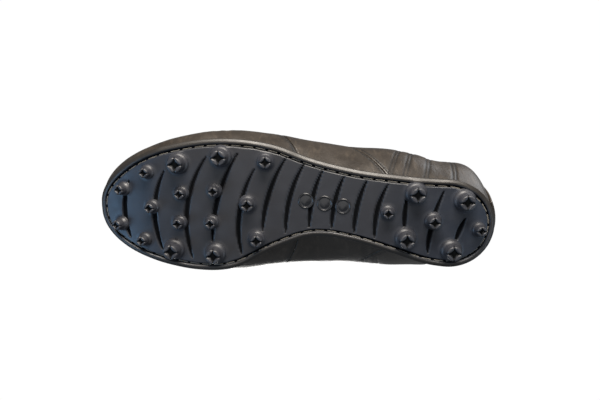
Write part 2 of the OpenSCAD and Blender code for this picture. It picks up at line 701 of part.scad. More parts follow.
// Points of the lace as it leaves a hole, crosses over the gap and goes under the far side
over_d = -lace_t / 2 - 1.1;
under_d = inside_d + lace_t / 2 + 0.9;
lace_lift = lace_t + 0.8;
function lace_point(x, side_off, d) =
    skin(x, (side_off >= 0 ? 1 : -1) * angle_at_offset(x, side_off >= 0 ? lateral : medial, abs(side_off)), d);
function through_hole(i, side, d) = skin(eyelet_at(i), hole_angle(i, side), 0) - d * hole_axis(i, side);
function crossing(i, side, lift) =
    let (x0 = eyelet_at(i), x1 = eyelet_at(i + 1), gap = throat_half_w)
    [through_hole(i, side, over_d),
        lace_point(mix(x0, x1, 0.2), side * (gap + 1.5), over_d - 0.3),
        lace_point(mix(x0, x1, 0.42), side * gap * 0.35, 1 + lift),
        lace_point(mix(x0, x1, 0.58), -side * gap * 0.35, 2.6 + lift),
        lace_point(mix(x0, x1, 0.78), -side * (gap - 2.4), under_d - 0.4),
        lace_point(mix(x0, x1, 0.9), -side * (gap + 2), under_d),
        through_hole(i + 1, -side, under_d)];
function strand(i, side) =
    i >= eyelet_count - 1 ? [] :
        concat(crossing(i, side, i % 2 == 0 ? (side == lateral ? -lace_lift : 0) : (side == lateral ? 0 : -lace_lift)),
            strand(i + 1, -side));
// Flat ribbon swept along points, with its flat face turned to the outside of the shoe
module ribbon(path) {
    n = len(path);
    function along(k) =
        let (v = path[min(n - 1, k + 1)] - path[max(0, k - 1)]) v / norm(v);
    function ring(k) =
        let (t = along(k),
            c = [path[k][0] + 40, 0, path[k][2] - 60],
            out0 = path[k] - c,
            out1 = out0 - (out0 * t) * t,
            out = out1 / norm(out1),
            wide = cross(t, out))
        [for (a = [0 : 7]) path[k] + wide * lace_w / 2 * cos(45 * a + 22.5) / cos(22.5)
            + out * lace_t / 2 * sin(45 * a + 22.5) / cos(22.5)];
    rings = [for (k = [0 : n - 1]) each ring(k)];
    faces = concat([[for (a = [0 : 7]) a]],
        [for (k = [0 : n - 2]) for (a = [0 : 7])
            each [[8 * k + a, 8 * (k + 1) + a, 8 * (k + 1) + (a + 1) % 8],
                [8 * k + a, 8 * (k + 1) + (a + 1) % 8, 8 * k + (a + 1) % 8]]],
        [[for (a = [7 : -1 : 0]) 8 * (n - 1) + a]]);
    polyhedron(rings, faces);
}
module lace() {
    color([0.1, 0.1, 0.1])
        for (side = [lateral, medial]) ribbon(strand(0, side));
}

module placed() {
    translate([0, origin_shift_y, 0]) children();
}
placed() outsole();
placed() studs_large();
placed() studs_medium();
placed() studs_small();
placed() arch_discs();
placed() sole_thread();
placed() shank();
placed() bottom_filler();
placed() lasting_margin();
placed() insole_board();
placed() sockliner();
placed() toe_puff();
placed() heel_counter();
placed() vamp();
placed() midpanel_lateral();
placed() midpanel_medial();
placed() quarter_lateral();
placed() quarter_medial();
placed() backstay();
placed() vamp_lining();
placed() quarter_lining_lateral();
placed() quarter_lining_medial();
placed() heel_lining();
placed() collar_foam();
placed() collar_lining();
placed() eyestay_lateral();
placed() eyestay_medial();
placed() eyelets();
placed() lace();
placed() tongue_leather();
placed() tongue_foam();
placed() tongue_lining();
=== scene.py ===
import math

import bmesh
import bpy
from mathutils import Matrix, Vector, noise


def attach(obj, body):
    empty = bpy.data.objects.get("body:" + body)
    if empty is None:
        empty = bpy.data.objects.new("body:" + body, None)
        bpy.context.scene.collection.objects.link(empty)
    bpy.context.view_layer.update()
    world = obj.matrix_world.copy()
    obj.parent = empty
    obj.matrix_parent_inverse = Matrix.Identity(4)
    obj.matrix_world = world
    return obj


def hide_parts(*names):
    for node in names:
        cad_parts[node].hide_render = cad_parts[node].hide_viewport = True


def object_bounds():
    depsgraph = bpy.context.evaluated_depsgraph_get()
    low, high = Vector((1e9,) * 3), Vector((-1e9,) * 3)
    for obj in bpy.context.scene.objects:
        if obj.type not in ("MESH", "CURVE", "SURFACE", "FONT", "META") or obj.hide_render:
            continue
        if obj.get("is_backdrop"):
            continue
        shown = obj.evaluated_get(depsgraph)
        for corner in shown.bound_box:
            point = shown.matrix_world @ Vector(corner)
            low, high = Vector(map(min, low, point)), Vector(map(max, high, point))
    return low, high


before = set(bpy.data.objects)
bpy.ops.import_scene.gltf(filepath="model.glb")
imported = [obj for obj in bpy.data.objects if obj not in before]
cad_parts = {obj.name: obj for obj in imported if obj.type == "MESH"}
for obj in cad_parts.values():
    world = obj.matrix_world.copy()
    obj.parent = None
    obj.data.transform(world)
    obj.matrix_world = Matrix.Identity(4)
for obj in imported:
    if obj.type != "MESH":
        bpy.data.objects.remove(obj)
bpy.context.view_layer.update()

SENSOR_W, LENS_MM = 36, 32.4
eye = Vector((-0.0230, 0.0770, -0.3600))
ahead = Vector((0.0488, -0.1900, 0.9780)).normalized()
across = Vector((0, 1, 0)).cross(-ahead).normalized()
upright = (-ahead).cross(across)
lens = bpy.data.cameras.new("view")
lens.sensor_width = SENSOR_W
lens.lens = LENS_MM
lens.clip_start = 0.01
lens.clip_end = 20
camera = bpy.data.objects.new("view", lens)
camera.matrix_world = Matrix.Translation(eye) @ Matrix((across, upright, -ahead)).transposed().to_4x4()
bpy.context.scene.collection.objects.link(camera)
bpy.context.scene.camera = camera

# ---------------------------------------------------------------------------
# Outsole. One plate moulded in soft plastic, with a round lip at its rim, a
# sunk channel for the stitching and crescent grooves that let it bend.
# ---------------------------------------------------------------------------
MM = 0.001
SHIFT_Y = 4.2  # the frame's middle stands this far from the last's own line
SOLE_L = 283.0
SOLE_HEEL_X = -SOLE_L / 2 + 0.9
TOE_X = SOLE_HEEL_X + SOLE_L
HEEL_W, WAIST_W, BALL_W = 64.0, 51.5, 93.2
PLATE_T = 4.0
STUD_H = 11.5
WAIST_RISE, TOE_SPRING = 3.3, 10
HEEL_ROUND_L, TOE_ROUND_L, TOE_ROUND_POWER = 34, 55, 2.4
HEEL_TIP_Y, TOE_TIP_Y = -16, -7
SOLE_HALF_WIDTHS = [(0, HEEL_W / 2), (0.15, 0.965 * HEEL_W / 2), (0.25, 0.872 * HEEL_W / 2),
                    (0.35, WAIST_W / 2), (0.45, 1.08 * WAIST_W / 2), (0.55, 0.807 * BALL_W / 2),
                    (0.65, BALL_W / 2), (0.75, BALL_W / 2), (0.88, 0.83 * BALL_W / 2),
                    (1, 0.645 * BALL_W / 2)]
SOLE_CENTRES = [(0, -16.5), (0.15, -14.9), (0.25, -9.4), (0.35, -3.6), (0.45, 1.1), (0.55, 1.4),
                (0.65, -3.5), (0.75, -5), (0.88, -5.4), (1, -8)]


def unit(v):
    return min(1.0, max(0.0, v))


def mix(a, b, s):
    return a + (b - a) * s


def ease(s):
    return s * s * (3 - 2 * s)


def smooth(table, f):
    """Smooth curve through the points of a table of places and values."""
    k = 0
    while k < len(table) - 2 and f >= table[k + 1][0]:
        k += 1

    def slope(i):
        a, b = max(i - 1, 0), min(i + 1, len(table) - 1)
        return (table[b][1] - table[a][1]) / (table[b][0] - table[a][0])

    h = table[k + 1][0] - table[k][0]
    s = (f - table[k][0]) / h
    return ((2 * s**3 - 3 * s * s + 1) * table[k][1] + (s**3 - 2 * s * s + s) * h * slope(k)
            + (3 * s * s - 2 * s**3) * table[k + 1][1] + (s**3 - s * s) * h * slope(k + 1))


def share(x):
    return (x - SOLE_HEEL_X) / SOLE_L


def at_share(f):
    return SOLE_HEEL_X + f * SOLE_L


def rounded(x, y):
    """Draws a width in towards the middle at the heel and at the toe."""
    if share(x) < 0.5:
        s = unit((x - SOLE_HEEL_X) / HEEL_ROUND_L)
        return mix(HEEL_TIP_Y, y, math.sqrt(max(0, 1 - (1 - s) ** 2)))
    s = unit((TOE_X - x) / TOE_ROUND_L)
    return mix(TOE_TIP_Y, y, max(0, 1 - (1 - s) ** TOE_ROUND_POWER) ** (1 / TOE_ROUND_POWER))


def edge_y(x, side, swell=0.0):
    return smooth(SOLE_CENTRES, share(x)) + side * (smooth(SOLE_HALF_WIDTHS, share(x)) + swell)


def plate_edge(x, side, inset):
    return (SOLE_HEEL_X + inset + (x - SOLE_HEEL_X) * (1 - 2 * inset / SOLE_L),
            rounded(x, edge_y(x, side, -inset)))


def plate_y(f, s):
    x = at_share(f)
    a, b = rounded(x, edge_y(x, 1)), rounded(x, edge_y(x, -1))
    return (a + b) / 2 + s * (a - b) / 2


def plate_z(x):
    f = share(x)
    arch = ease(unit((f - 0.24) / 0.21)) if f < 0.45 else ease(unit((0.67 - f) / 0.22))
    return (STUD_H + WAIST_RISE * arch + TOE_SPRING * unit((f - 0.83) / 0.17) ** 1.8
            + unit((0.06 - f) / 0.06) ** 2)


def place(x, y, z):
    """A point of the shoe, given in mm, as a place in the frame."""
    return Vector((x * MM, (y + SHIFT_Y) * MM, z * MM))


def new_piece(name, bm, finish):
    """Makes a mesh a smooth piece of the shoe with one finish."""
    mesh = bpy.data.meshes.new(name)
    bm.to_mesh(mesh)
    bm.free()
    piece = bpy.data.objects.new(name, mesh)
    bpy.context.scene.collection.objects.link(piece)
    mesh.materials.append(finish)
    for face in mesh.polygons:
        face.use_smooth = True
    return piece


def tint(code):
    """Linear colour of an sRGB hex value."""
    parts = [int(code[i:i + 2], 16) / 255 for i in (1, 3, 5)]
    return tuple(c / 12.92 if c <= 0.04045 else ((c + 0.055) / 1.055) ** 2.4 for c in parts) + (1.0,)


def add(finish, kind, inputs=None, **settings):
    """Adds a node to a finish with its settings. An input is a value or another node's output."""
    made = finish.node_tree.nodes.new(kind)
    for key, value in settings.items():
        setattr(made, key, value)
    for key, value in (inputs or {}).items():
        if isinstance(value, bpy.types.NodeSocket):
            finish.node_tree.links.new(value, made.inputs[key])
        else:
            made.inputs[key].default_value = value
    return made


def new_finish(name):
    finish = bpy.data.materials.new(name)
    finish.use_nodes = True
    finish.node_tree.nodes.clear()
    return finish


def close_finish(finish, shader):
    add(finish, "ShaderNodeOutputMaterial", {"Surface": shader.outputs[0]})
    return finish


# Moulded thermoplastic polyurethane: satin and near black, with painted cool light that makes it
# bluer at the toe and the heel, dusty patches about 11 mm across, painted warm light that makes
# the lip browner, and a moulded grain of 0.5 mm. The grooves and the channel are sunk out of the
# light, so they are black and don't shine.
sole_tpu = new_finish("moulded_tpu")
spot = add(sole_tpu, "ShaderNodeTexCoord").outputs["Object"]
along = add(sole_tpu, "ShaderNodeSeparateXYZ", {0: spot}).outputs[0]
far = add(sole_tpu, "ShaderNodeMath", {0: along}, operation="ABSOLUTE").outputs[0]
# Painted cool light: the colour turns bluer towards the toe and the heel
ends = add(sole_tpu, "ShaderNodeMapRange", {0: far, 1: 0.055, 2: 0.140}).outputs[0]
patches = add(sole_tpu, "ShaderNodeTexNoise", {"Vector": spot, "Scale": 90, "Detail": 4}).outputs[0]
grain = add(sole_tpu, "ShaderNodeTexNoise", {"Vector": spot, "Scale": 2000, "Detail": 3}).outputs[0]
ground = add(sole_tpu, "ShaderNodeMix", {0: ends, 6: tint("#1b1c21"), 7: tint("#161d29")},
             data_type="RGBA").outputs[2]
dusty = add(sole_tpu, "ShaderNodeMapRange", {0: patches, 1: 0.45, 2: 0.75, 3: 0.0, 4: 0.35}).outputs[0]
ground = add(sole_tpu, "ShaderNodeMix", {0: dusty, 6: ground, 7: tint("#26282e")},
             data_type="RGBA").outputs[2]
# Painted warm light: the lip round the rim turns browner
painted_lip_warmth = add(sole_tpu, "ShaderNodeAttribute", attribute_name="rim").outputs["Fac"]
ground = add(sole_tpu, "ShaderNodeMix", {0: painted_lip_warmth, 6: ground, 7: tint("#1e1b18")},
             data_type="RGBA").outputs[2]
depth = add(sole_tpu, "ShaderNodeAttribute", attribute_name="sunk").outputs["Fac"]
ground = add(sole_tpu, "ShaderNodeMix", {0: depth, 6: ground, 7: tint("#030406")},
             data_type="RGBA").outputs[2]
gloss = add(sole_tpu, "ShaderNodeMapRange", {0: patches, 1: 0.3, 2: 0.7, 3: 0.38, 4: 0.54}).outputs[0]
gloss = add(sole_tpu, "ShaderNodeMix", {0: depth, 2: gloss, 3: 0.95}).outputs[0]
bump = add(sole_tpu, "ShaderNodeBump", {"Height": grain, "Strength": 0.35, "Distance": 0.00012})
shine = add(sole_tpu, "ShaderNodeMapRange", {0: depth, 3: 0.5, 4: 0.08}).outputs[0]
close_finish(sole_tpu, add(sole_tpu, "ShaderNodeBsdfPrincipled",
                           {"Base Color": ground, "Roughness": gloss, "IOR": 1.5,
                            "Specular IOR Level": shine, "Normal": bump.outputs[0]}))

# Share of the length, radius, then the shares of the half width of the apex and both ends
GROOVES = [(0.93, 55, -0.1, 0.67, -0.76), (0.849, 68, -0.17, 0.65, -0.79),
           (0.769, 85, -0.3, 0.8, -0.82), (0.704, 120, -0.59, 0.8, -0.55),
           (0.637, 85, -0.41, 0.56, -0.8), (0.577, 105, -0.7, 0.74, -0.58),
           (0.518, 93, -0.7, 0.74, -0.76), (0.459, 95, -0.76, 0.7, -0.76),
           (0.402, 90, -0.76, 0.7, -0.76), (0.346, 90, -0.76, 0.74, -0.76),
           (0.295, 70, -0.55, 0.72, -0.74), (0.222, 150, -0.1, 0.5, -0.3),
           (0.162, 110, -0.74, 0.74, -0.74), (0.101, 70, -0.9, 0.15, -0.37)]
GROOVE_HALF_W = 2.0
GROOVE_DEPTH = 1.2
CHANNEL = (3.4, 5.5)
CHANNEL_DEPTH = 1.7
arcs = []
for f, radius, apex, top, bottom in GROOVES:
    centre = (at_share(f) - radius, plate_y(f, apex))
    arcs.append((centre, radius, math.asin((plate_y(f, top) - centre[1]) / radius),
                 math.asin((plate_y(f, bottom) - centre[1]) / radius)))
LARGE_R, MEDIUM_R, SMALL_R = 7.8, 6.2, 5.2
MEDIUM_H, SMALL_H = 9.5, 8.0
LARGE_STUDS = [(0.783, 0.69), (0.802, -0.7), (0.676, 0.74), (0.696, -0.72), (0.197, 0.64),
               (0.219, -0.51), (0.079, 0.59), (0.105, -0.59)]
MEDIUM_STUDS = [(0.567, 0.68), (0.612, -0.02), (0.591, -0.66), (0.153, 0.05)]
SMALL_STUDS = [(0.928, 0.45), (0.94, -0.44), (0.862, 0.64), (0.877, -0.64), (0.853, 0),
               (0.778, 0.22), (0.785, -0.25), (0.694, 0.24), (0.703, -0.24), (0.264, 0.04),
               (0.04, -0.12)]
ARCH_DISCS = [(0.467, -0.07), (0.42, -0.09), (0.374, -0.07)]
feet = [(at_share(f), plate_y(f, s), r) for r, group in
        ((LARGE_R, LARGE_STUDS), (MEDIUM_R, MEDIUM_STUDS), (SMALL_R, SMALL_STUDS)) for f, s in group]


def groove_depth(x, y):
    """Depth and darkness of the crescent grooves at a point under the plate."""
    deepest = 0.0
    for (cx, cy), radius, top, bottom in arcs:
        r = math.hypot(x - cx, y - cy)
        if abs(r - radius) > GROOVE_HALF_W + 0.6:
            continue
        turn = (math.atan2(y - cy, x - cx) - bottom) / (top - bottom)
        if 0 < turn < 1:
            half = GROOVE_HALF_W * math.sin(math.pi * turn ** 0.8) ** 0.55
            deepest = max(deepest, 1 - unit(abs(r - radius) / max(half, 0.05)) ** 5)
    return deepest


def rim_distance(x, y, rim):
    """Distance in mm from a point to the edge of the plate."""
    return min(math.hypot(x - p[0], y - p[1]) for p in rim)


def along_plate(a):
    """Share of the length for a share of the mesh, which is finer at the heel and the toe."""
    return mix((1 - math.cos(math.pi * a)) / 2, a, 0.45)


N_ALONG, N_ACROSS = 430, 132
UNDERSIDE = 0.94  # share of the mesh's width that is the plate's underside, the rest its wall
CHANNEL_WALL = 0.45
LIP_RISE, LIP_W = 1.1, 2.6
BEAD_H, BEAD_INSET, BEAD_W = 0.25, 2.2, 1.4
FLARE_H, FLARE_W = 0.5, 2.2
CELL = 8  # the rim's points are sorted into squares of this size to find the near ones
bm = bmesh.new()
rim_mark = bm.verts.layers.float.new("rim")
sunk_mark = bm.verts.layers.float.new("sunk")
rim_line = [plate_edge(at_share((1 - math.cos(math.pi * k / 700)) / 2), side, 0)
            for side in (1, -1) for k in range(701)]
rim_near = {}
for p in rim_line:
    rim_near.setdefault((int(p[0] // CELL), int(p[1] // CELL)), []).append(p)
bmesh.ops.create_grid(bm, x_segments=N_ALONG, y_segments=N_ACROSS, size=0.5)
for v in bm.verts:
    f, q = along_plate(v.co.x + 0.5), 2 * v.co.y
    s = math.copysign(unit(abs(q) / UNDERSIDE) ** 0.9, q)
    wall = unit((abs(q) - UNDERSIDE) / (1 - UNDERSIDE))
    x = at_share(f)
    y = plate_y(f, s)
    cell = (int(x // CELL), int(y // CELL))
    near = [p for i in (-1, 0, 1) for j in (-1, 0, 1)
            for p in rim_near.get((cell[0] + i, cell[1] + j), [])]
    inset = rim_distance(x, y, near) if near else CELL + 1.0
    z = plate_z(x)
    cut = groove_depth(x, y)
    z += GROOVE_DEPTH * cut
    in_channel = unit((inset - CHANNEL[0]) / CHANNEL_WALL) * unit((CHANNEL[1] - inset) / CHANNEL_WALL)
    z += CHANNEL_DEPTH * ease(in_channel)
    z += LIP_RISE * (1 - unit(inset / LIP_W)) ** 2
    z -= BEAD_H * ease(unit(1 - abs(inset - BEAD_INSET) / BEAD_W))
    for fx, fy, fr in feet:
        away = math.hypot(x - fx, y - fy) - fr
        if away < FLARE_W:
            z -= FLARE_H * (1 - unit((away + 0.3) / (FLARE_W + 0.3))) ** 2
    z = mix(z, plate_z(x) + PLATE_T, wall)
    v[rim_mark] = unit((CHANNEL[0] - inset) / 0.8) if inset < CHANNEL[0] else 0.0
    v[sunk_mark] = unit(max(cut * 1.1, in_channel)) * (1 - wall)
    v.co = place(x, y, z)
top_face = bmesh.ops.create_grid(bm, x_segments=N_ALONG, y_segments=4, size=0.5)
for v in top_face["verts"]:
    f = along_plate(v.co.x + 0.5)
    v.co = place(at_share(f), plate_y(f, 2 * v.co.y), plate_z(at_share(f)) + PLATE_T)
bmesh.ops.remove_doubles(bm, verts=bm.verts, dist=0.00002)
bmesh.ops.recalc_face_normals(bm, faces=bm.faces)
plate = new_piece("sole_plate", bm, sole_tpu)
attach(plate, "root")
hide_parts("outsole")

# ---------------------------------------------------------------------------
# Studs. Round moulded cones in three sizes on a domed collar. The tip of each
# has a four-pointed hollow, which leaves four rounded lobes that grip.
# ---------------------------------------------------------------------------
STUD_SIDES = 40
HOLLOW_DEPTH = 1.9


def plate_angle(x):
    return math.atan((plate_z(x + 1) - plate_z(x - 1)) / 2)


def on_plate(f, s):
    """Turns and moves a shape that stands on the ground upside down under the plate."""
    x = at_share(f)
    seat = place(x, plate_y(f, s), plate_z(x))
    turn = Matrix.Rotation(-plate_angle(x), 4, "Y")
    return Matrix.Translation(seat) @ turn @ Matrix.Diagonal((1, 1, -1, 1))


def star(x, y, tip_r):
    """Depth of the four-pointed hollow in a stud's tip, from 0 at its edge to 1."""
    u, v = abs(x) / tip_r, abs(y) / tip_r
    reach = math.sqrt(u) + math.sqrt(v)
    return ease(unit((1.24 - reach) / 0.24))


def make_studs(name, group, r, h, node):
    bm = bmesh.new()
    sunk = bm.verts.layers.float.new("sunk")
    bm.verts.layers.float.new("rim")
    tip_r = r * 0.66
    profile = [(r * 1.06, 0.25), (r * 1.0, -0.35), (r * 0.985, -0.07 * h), (r * 0.95, -0.14 * h),
               (r * 0.90, -0.20 * h), (r * 0.83, -0.25 * h), (r * 0.765, -0.29 * h),
               (r * 0.735, -0.35 * h), (r * 0.715, -0.5 * h), (r * 0.695, -0.68 * h),
               (r * 0.68, -0.84 * h), (tip_r, -h + 0.75), (tip_r - 0.22, -h + 0.26),
               (tip_r - 0.62, -h + 0.04)]
    inner = [tip_r - 0.62 - (tip_r - 0.62) * (k + 1) / 9 for k in range(9)]
    profile += [(max(p, 0.0), -h) for p in inner]
    for f, s in group:
        line = [bm.verts.new((p[0] * MM, 0, -p[1] * MM)) for p in profile]
        edges = [bm.edges.new((line[k], line[k + 1])) for k in range(len(line) - 1)]
        bmesh.ops.spin(bm, geom=line + edges, cent=(0, 0, 0), axis=(0, 0, 1), angle=2 * math.pi,
                       steps=STUD_SIDES, use_merge=True, use_duplicate=False)
        verts = {v for v in bm.verts if not v.tag}
        for v in verts:
            v.tag = True
            x, y, z = (c / MM for c in v.co)
            if z > h * 0.75:
                hollow = star(x, y, tip_r)
                v[sunk] = hollow
                v.co.z -= hollow * HOLLOW_DEPTH * MM * unit((z - h * 0.75) / (h * 0.2))
        bmesh.ops.transform(bm, matrix=on_plate(f, s), verts=list(verts))
    bmesh.ops.remove_doubles(bm, verts=bm.verts, dist=0.000005)
    bmesh.ops.recalc_face_normals(bm, faces=bm.faces)
    piece = new_piece(name, bm, stud_tpu)
    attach(piece, "root")
    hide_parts(node)
    return piece


# The same plastic as the plate, in finer mottles of about 3 mm, its roughness varying with the
# mottles. The hollows are sunk out of the light, as the grooves are.
stud_tpu = new_finish("moulded_stud_tpu")
spot = add(stud_tpu, "ShaderNodeTexCoord").outputs["Object"]
patches = add(stud_tpu, "ShaderNodeTexNoise", {"Vector": spot, "Scale": 300, "Detail": 4}).outputs[0]
grain = add(stud_tpu, "ShaderNodeTexNoise", {"Vector": spot, "Scale": 2400, "Detail": 2}).outputs[0]
ground = add(stud_tpu, "ShaderNodeMix", {0: patches, 6: tint("#1c1d22"), 7: tint("#2f3035")},
             data_type="RGBA").outputs[2]
depth = add(stud_tpu, "ShaderNodeAttribute", attribute_name="sunk").outputs["Fac"]
ground = add(stud_tpu, "ShaderNodeMix", {0: depth, 6: ground, 7: tint("#040506")},
             data_type="RGBA").outputs[2]
gloss = add(stud_tpu, "ShaderNodeMapRange", {0: patches, 1: 0.3, 2: 0.7, 3: 0.36, 4: 0.54}).outputs[0]
shine = add(stud_tpu, "ShaderNodeMapRange", {0: depth, 3: 0.5, 4: 0.08}).outputs[0]
bump = add(stud_tpu, "ShaderNodeBump", {"Height": grain, "Strength": 0.25, "Distance": 0.0001})
close_finish(stud_tpu, add(stud_tpu, "ShaderNodeBsdfPrincipled",
                           {"Base Color": ground, "Roughness": gloss, "IOR": 1.5,
                            "Specular IOR Level": shine, "Normal": bump.outputs[0]}))
make_studs("large_studs", LARGE_STUDS, LARGE_R, STUD_H, "studs_large")
make_studs("medium_studs", MEDIUM_STUDS, MEDIUM_R, MEDIUM_H, "studs_medium")
make_studs("small_studs", SMALL_STUDS, SMALL_R, SMALL_H, "studs_small")

# ---------------------------------------------------------------------------
# Arch discs. Three glossy caps let into the waist of the plate, each with a
# raised ring round a low dome.
# ---------------------------------------------------------------------------
DISC_R = 5.6
# Polyamide polished in its mould: nearly black and glossy, with scuffs about 2 mm apart
disc_plastic = new_finish("polished_polyamide")
spot = add(disc_plastic, "ShaderNodeTexCoord").outputs["Object"]
scuffs = add(disc_plastic, "ShaderNodeTexNoise", {"Vector": spot, "Scale": 500, "Detail": 5}).outputs[0]
ground = add(disc_plastic, "ShaderNodeMix", {0: scuffs, 6: tint("#0c0d10"), 7: tint("#191a1e")},
             data_type="RGBA").outputs[2]
gloss = add(disc_plastic, "ShaderNodeMapRange", {0: scuffs, 1: 0.3, 2: 0.7, 3: 0.16, 4: 0.3}).outputs[0]
bump = add(disc_plastic, "ShaderNodeBump", {"Height": scuffs, "Strength": 0.1, "Distance": 0.0001})
close_finish(disc_plastic, add(disc_plastic, "ShaderNodeBsdfPrincipled",
                               {"Base Color": ground, "Roughness": gloss, "IOR": 1.53,
                                "Normal": bump.outputs[0]}))
bm = bmesh.new()
for f, s in ARCH_DISCS:
    profile = [(0.0, -0.8), (DISC_R, -0.8), (DISC_R, 0.35), (DISC_R - 0.25, 0.62), (DISC_R - 0.7, 0.7),
               (DISC_R - 1.0, 0.5), (DISC_R - 1.3, 0.3), (3.4, 0.5), (2.2, 0.72), (1.0, 0.82), (0.0, 0.85)]
    line = [bm.verts.new((p[0] * MM, 0, p[1] * MM)) for p in profile]
    edges = [bm.edges.new((line[k], line[k + 1])) for k in range(len(line) - 1)]
    bmesh.ops.spin(bm, geom=line + edges, cent=(0, 0, 0), axis=(0, 0, 1), angle=2 * math.pi,
                   steps=48, use_merge=True, use_duplicate=False)
    verts = [v for v in bm.verts if not v.tag]
    for v in verts:
        v.tag = True
    bmesh.ops.transform(bm, matrix=on_plate(f, s), verts=verts)
bmesh.ops.remove_doubles(bm, verts=bm.verts, dist=0.000005)
bmesh.ops.recalc_face_normals(bm, faces=bm.faces)
discs = new_piece("arch_caps", bm, disc_plastic)
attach(discs, "root")
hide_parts("arch_discs")

# ---------------------------------------------------------------------------
# Sole stitching. Waxed twisted thread in long lock stitches, sunk in the
# channel round the plate and stitched through to the margin of the upper.
# ---------------------------------------------------------------------------
# Twisted polyester drawn through wax: grey plies about 1.4 mm long, with painted shade that makes their
# hollows nearly black
waxed_thread = new_finish("waxed_polyester_thread")
spot = add(waxed_thread, "ShaderNodeTexCoord").outputs["Object"]
plies = add(waxed_thread, "ShaderNodeTexWave", {"Vector": spot, "Scale": 700, "Distortion": 2},
            wave_type="BANDS", bands_direction="DIAGONAL").outputs[0]
# Painted shade: the dark bands are the hollows between the plies
ground = add(waxed_thread, "ShaderNodeMix", {0: plies, 6: tint("#24221f"), 7: tint("#6e6a62")},
             data_type="RGBA").outputs[2]
bump = add(waxed_thread, "ShaderNodeBump", {"Height": plies, "Strength": 0.6, "Distance": 0.0002})
close_finish(waxed_thread, add(waxed_thread, "ShaderNodeBsdfPrincipled",
                               {"Base Color": ground, "Roughness": 0.5, "IOR": 1.5,
                                "Normal": bump.outputs[0]}))


def finish_node(node, finish):
    """Gives a piece that keeps its CAD shape its finish."""
    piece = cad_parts[node]
    piece.data.materials.clear()
    piece.data.materials.append(finish)


finish_node("sole_thread", waxed_thread)

# ---------------------------------------------------------------------------
# Leather upper. Vamp, two middle panels, two quarters and a back strip, cut
# from soft black leather, butted, stitched and lasted under at the foot edge.
# ---------------------------------------------------------------------------
SWELL = {1: [(0, 22), (0.1, 9.5), (0.18, 14), (0.25, 16), (0.35, 14), (0.45, 11.5), (0.55, 7),
             (0.65, 6.5), (0.75, 6), (0.88, 5), (1, 9)],
         -1: [(0, 4), (0.1, 8), (0.18, 14), (0.25, 21.5), (0.35, 28), (0.45, 30), (0.55, 20.5),
              (0.65, 8.5), (0.75, 5), (0.88, 3.5), (1, 2)]}
COLLAR_HEEL_H, COLLAR_ANKLE_H, INSTEP_H, TOE_BOX_H = 84.0, 67.0, 102.0, 49.0
RIDGE_HEIGHTS = [(0, COLLAR_HEEL_H + 40), (0.34, INSTEP_H + 16), (0.44, INSTEP_H + 2),
                 (0.54, INSTEP_H - 15), (0.66, TOE_BOX_H + 21), (0.76, TOE_BOX_H + 10),
                 (0.88, TOE_BOX_H), (1, TOE_BOX_H - 10)]
COLLAR_HEIGHTS = [(0, COLLAR_HEEL_H), (0.08, COLLAR_HEEL_H - 1.5), (0.19, COLLAR_HEEL_H - 11),
                  (0.29, COLLAR_ANKLE_H), (0.36, COLLAR_ANKLE_H + 5), (0.415, COLLAR_ANKLE_H + 16),
                  (0.6, INSTEP_H + 20), (1, INSTEP_H + 60)]
LEATHER_T, BACKING_T, LINING_T, GAP = 1.4, 1.5, 0.9, 0.15
BACKING_D = LEATHER_T + GAP
LINING_D = BACKING_D + BACKING_T + GAP
INSIDE_D = LINING_D + LINING_T
THROAT_HALF_W, SEAM_GAP = 10.0, 0.4
NOSE_L, NOSE_POWER = 34, 2.3
FOOT_TURN = 18  # degrees from the foot edge over which the sides swell out
SIDE_POWER, TOP_POWER = 0.72, 0.86
HEEL_REACH, HEEL_BULGE, HEEL_HOLLOW = 60, 3, 6


def top_of_plate(x):
    return plate_z(x) + PLATE_T + GAP


def nose(x):
    s = unit((TOE_X - x) / NOSE_L)
    return max(0, 1 - (1 - s) ** NOSE_POWER) ** (1 / NOSE_POWER)


def upper_edge(x, side):
    return edge_y(x, side, smooth(SWELL[side], share(x)))


def ridge_y(x):
    return (upper_edge(x, 1) + upper_edge(x, -1)) / 2 - 3


def rise(x, d):
    return (smooth(RIDGE_HEIGHTS, share(x)) - d - top_of_plate(x)) * nose(x)


def skin(x, w, d):
    """Point of the upper at a station, an angle round the foot and a depth under the skin."""
    t = 90 - abs(w)
    side = 1 if w >= 0 else -1
    foot = (1 - unit(t / FOOT_TURN)) ** 2
    lean = mix(upper_edge(x, side), edge_y(x, side, -3), foot) - side * d
    y = rounded(x, mix(ridge_y(x), lean, max(0, math.cos(math.radians(t))) ** SIDE_POWER))
    z = top_of_plate(x) + rise(x, d) * max(0, math.sin(math.radians(t))) ** TOP_POWER
    near_heel = (1 - unit((x - SOLE_HEEL_X) / HEEL_REACH)) ** 2
    back = near_heel * (HEEL_HOLLOW * ((z - 40) / 40) ** 2 - HEEL_BULGE)
    return (SOLE_HEEL_X + d + (x - SOLE_HEEL_X) * (1 - 2 * d / SOLE_L) + back, y, z)


def angle_at_height(x, z):
    high = max(rise(x, 0), 0.01)
    return 90 - math.degrees(math.asin(unit((z - top_of_plate(x)) / high) ** (1 / TOP_POWER)))


def angle_at_offset(x, side, off):
    part = unit(off / abs(upper_edge(x, side) - ridge_y(x)))
    return 90 - math.degrees(math.acos(part ** (1 / SIDE_POWER)))


def collar_angle(x):
    return angle_at_height(x, smooth(COLLAR_HEIGHTS, share(x)))


def throat_angle(x, side):
    return angle_at_offset(x, side, THROAT_HALF_W)


def vamp_seam(w):
    return mix(46, -4, (abs(w) / 90) ** 1.6)


def quarter_seam(w):
    return mix(-22, -68, unit((abs(w) - 42) / 48) ** 2.2)


def side_place(side, rear, front, top, round_rear=False):
    """Stations and angles of a side panel, from rear to front and from foot to top."""
    def where(a, b):
        a = 1 - math.cos(math.pi / 2 * a) if round_rear else a
        w = 60.0
        for _ in range(11):
            x = mix(rear(w), front(w), a)
            w = mix(w, mix(90, top(x), b), 0.6)
        return x, side * mix(90, top(x), b)
    return where


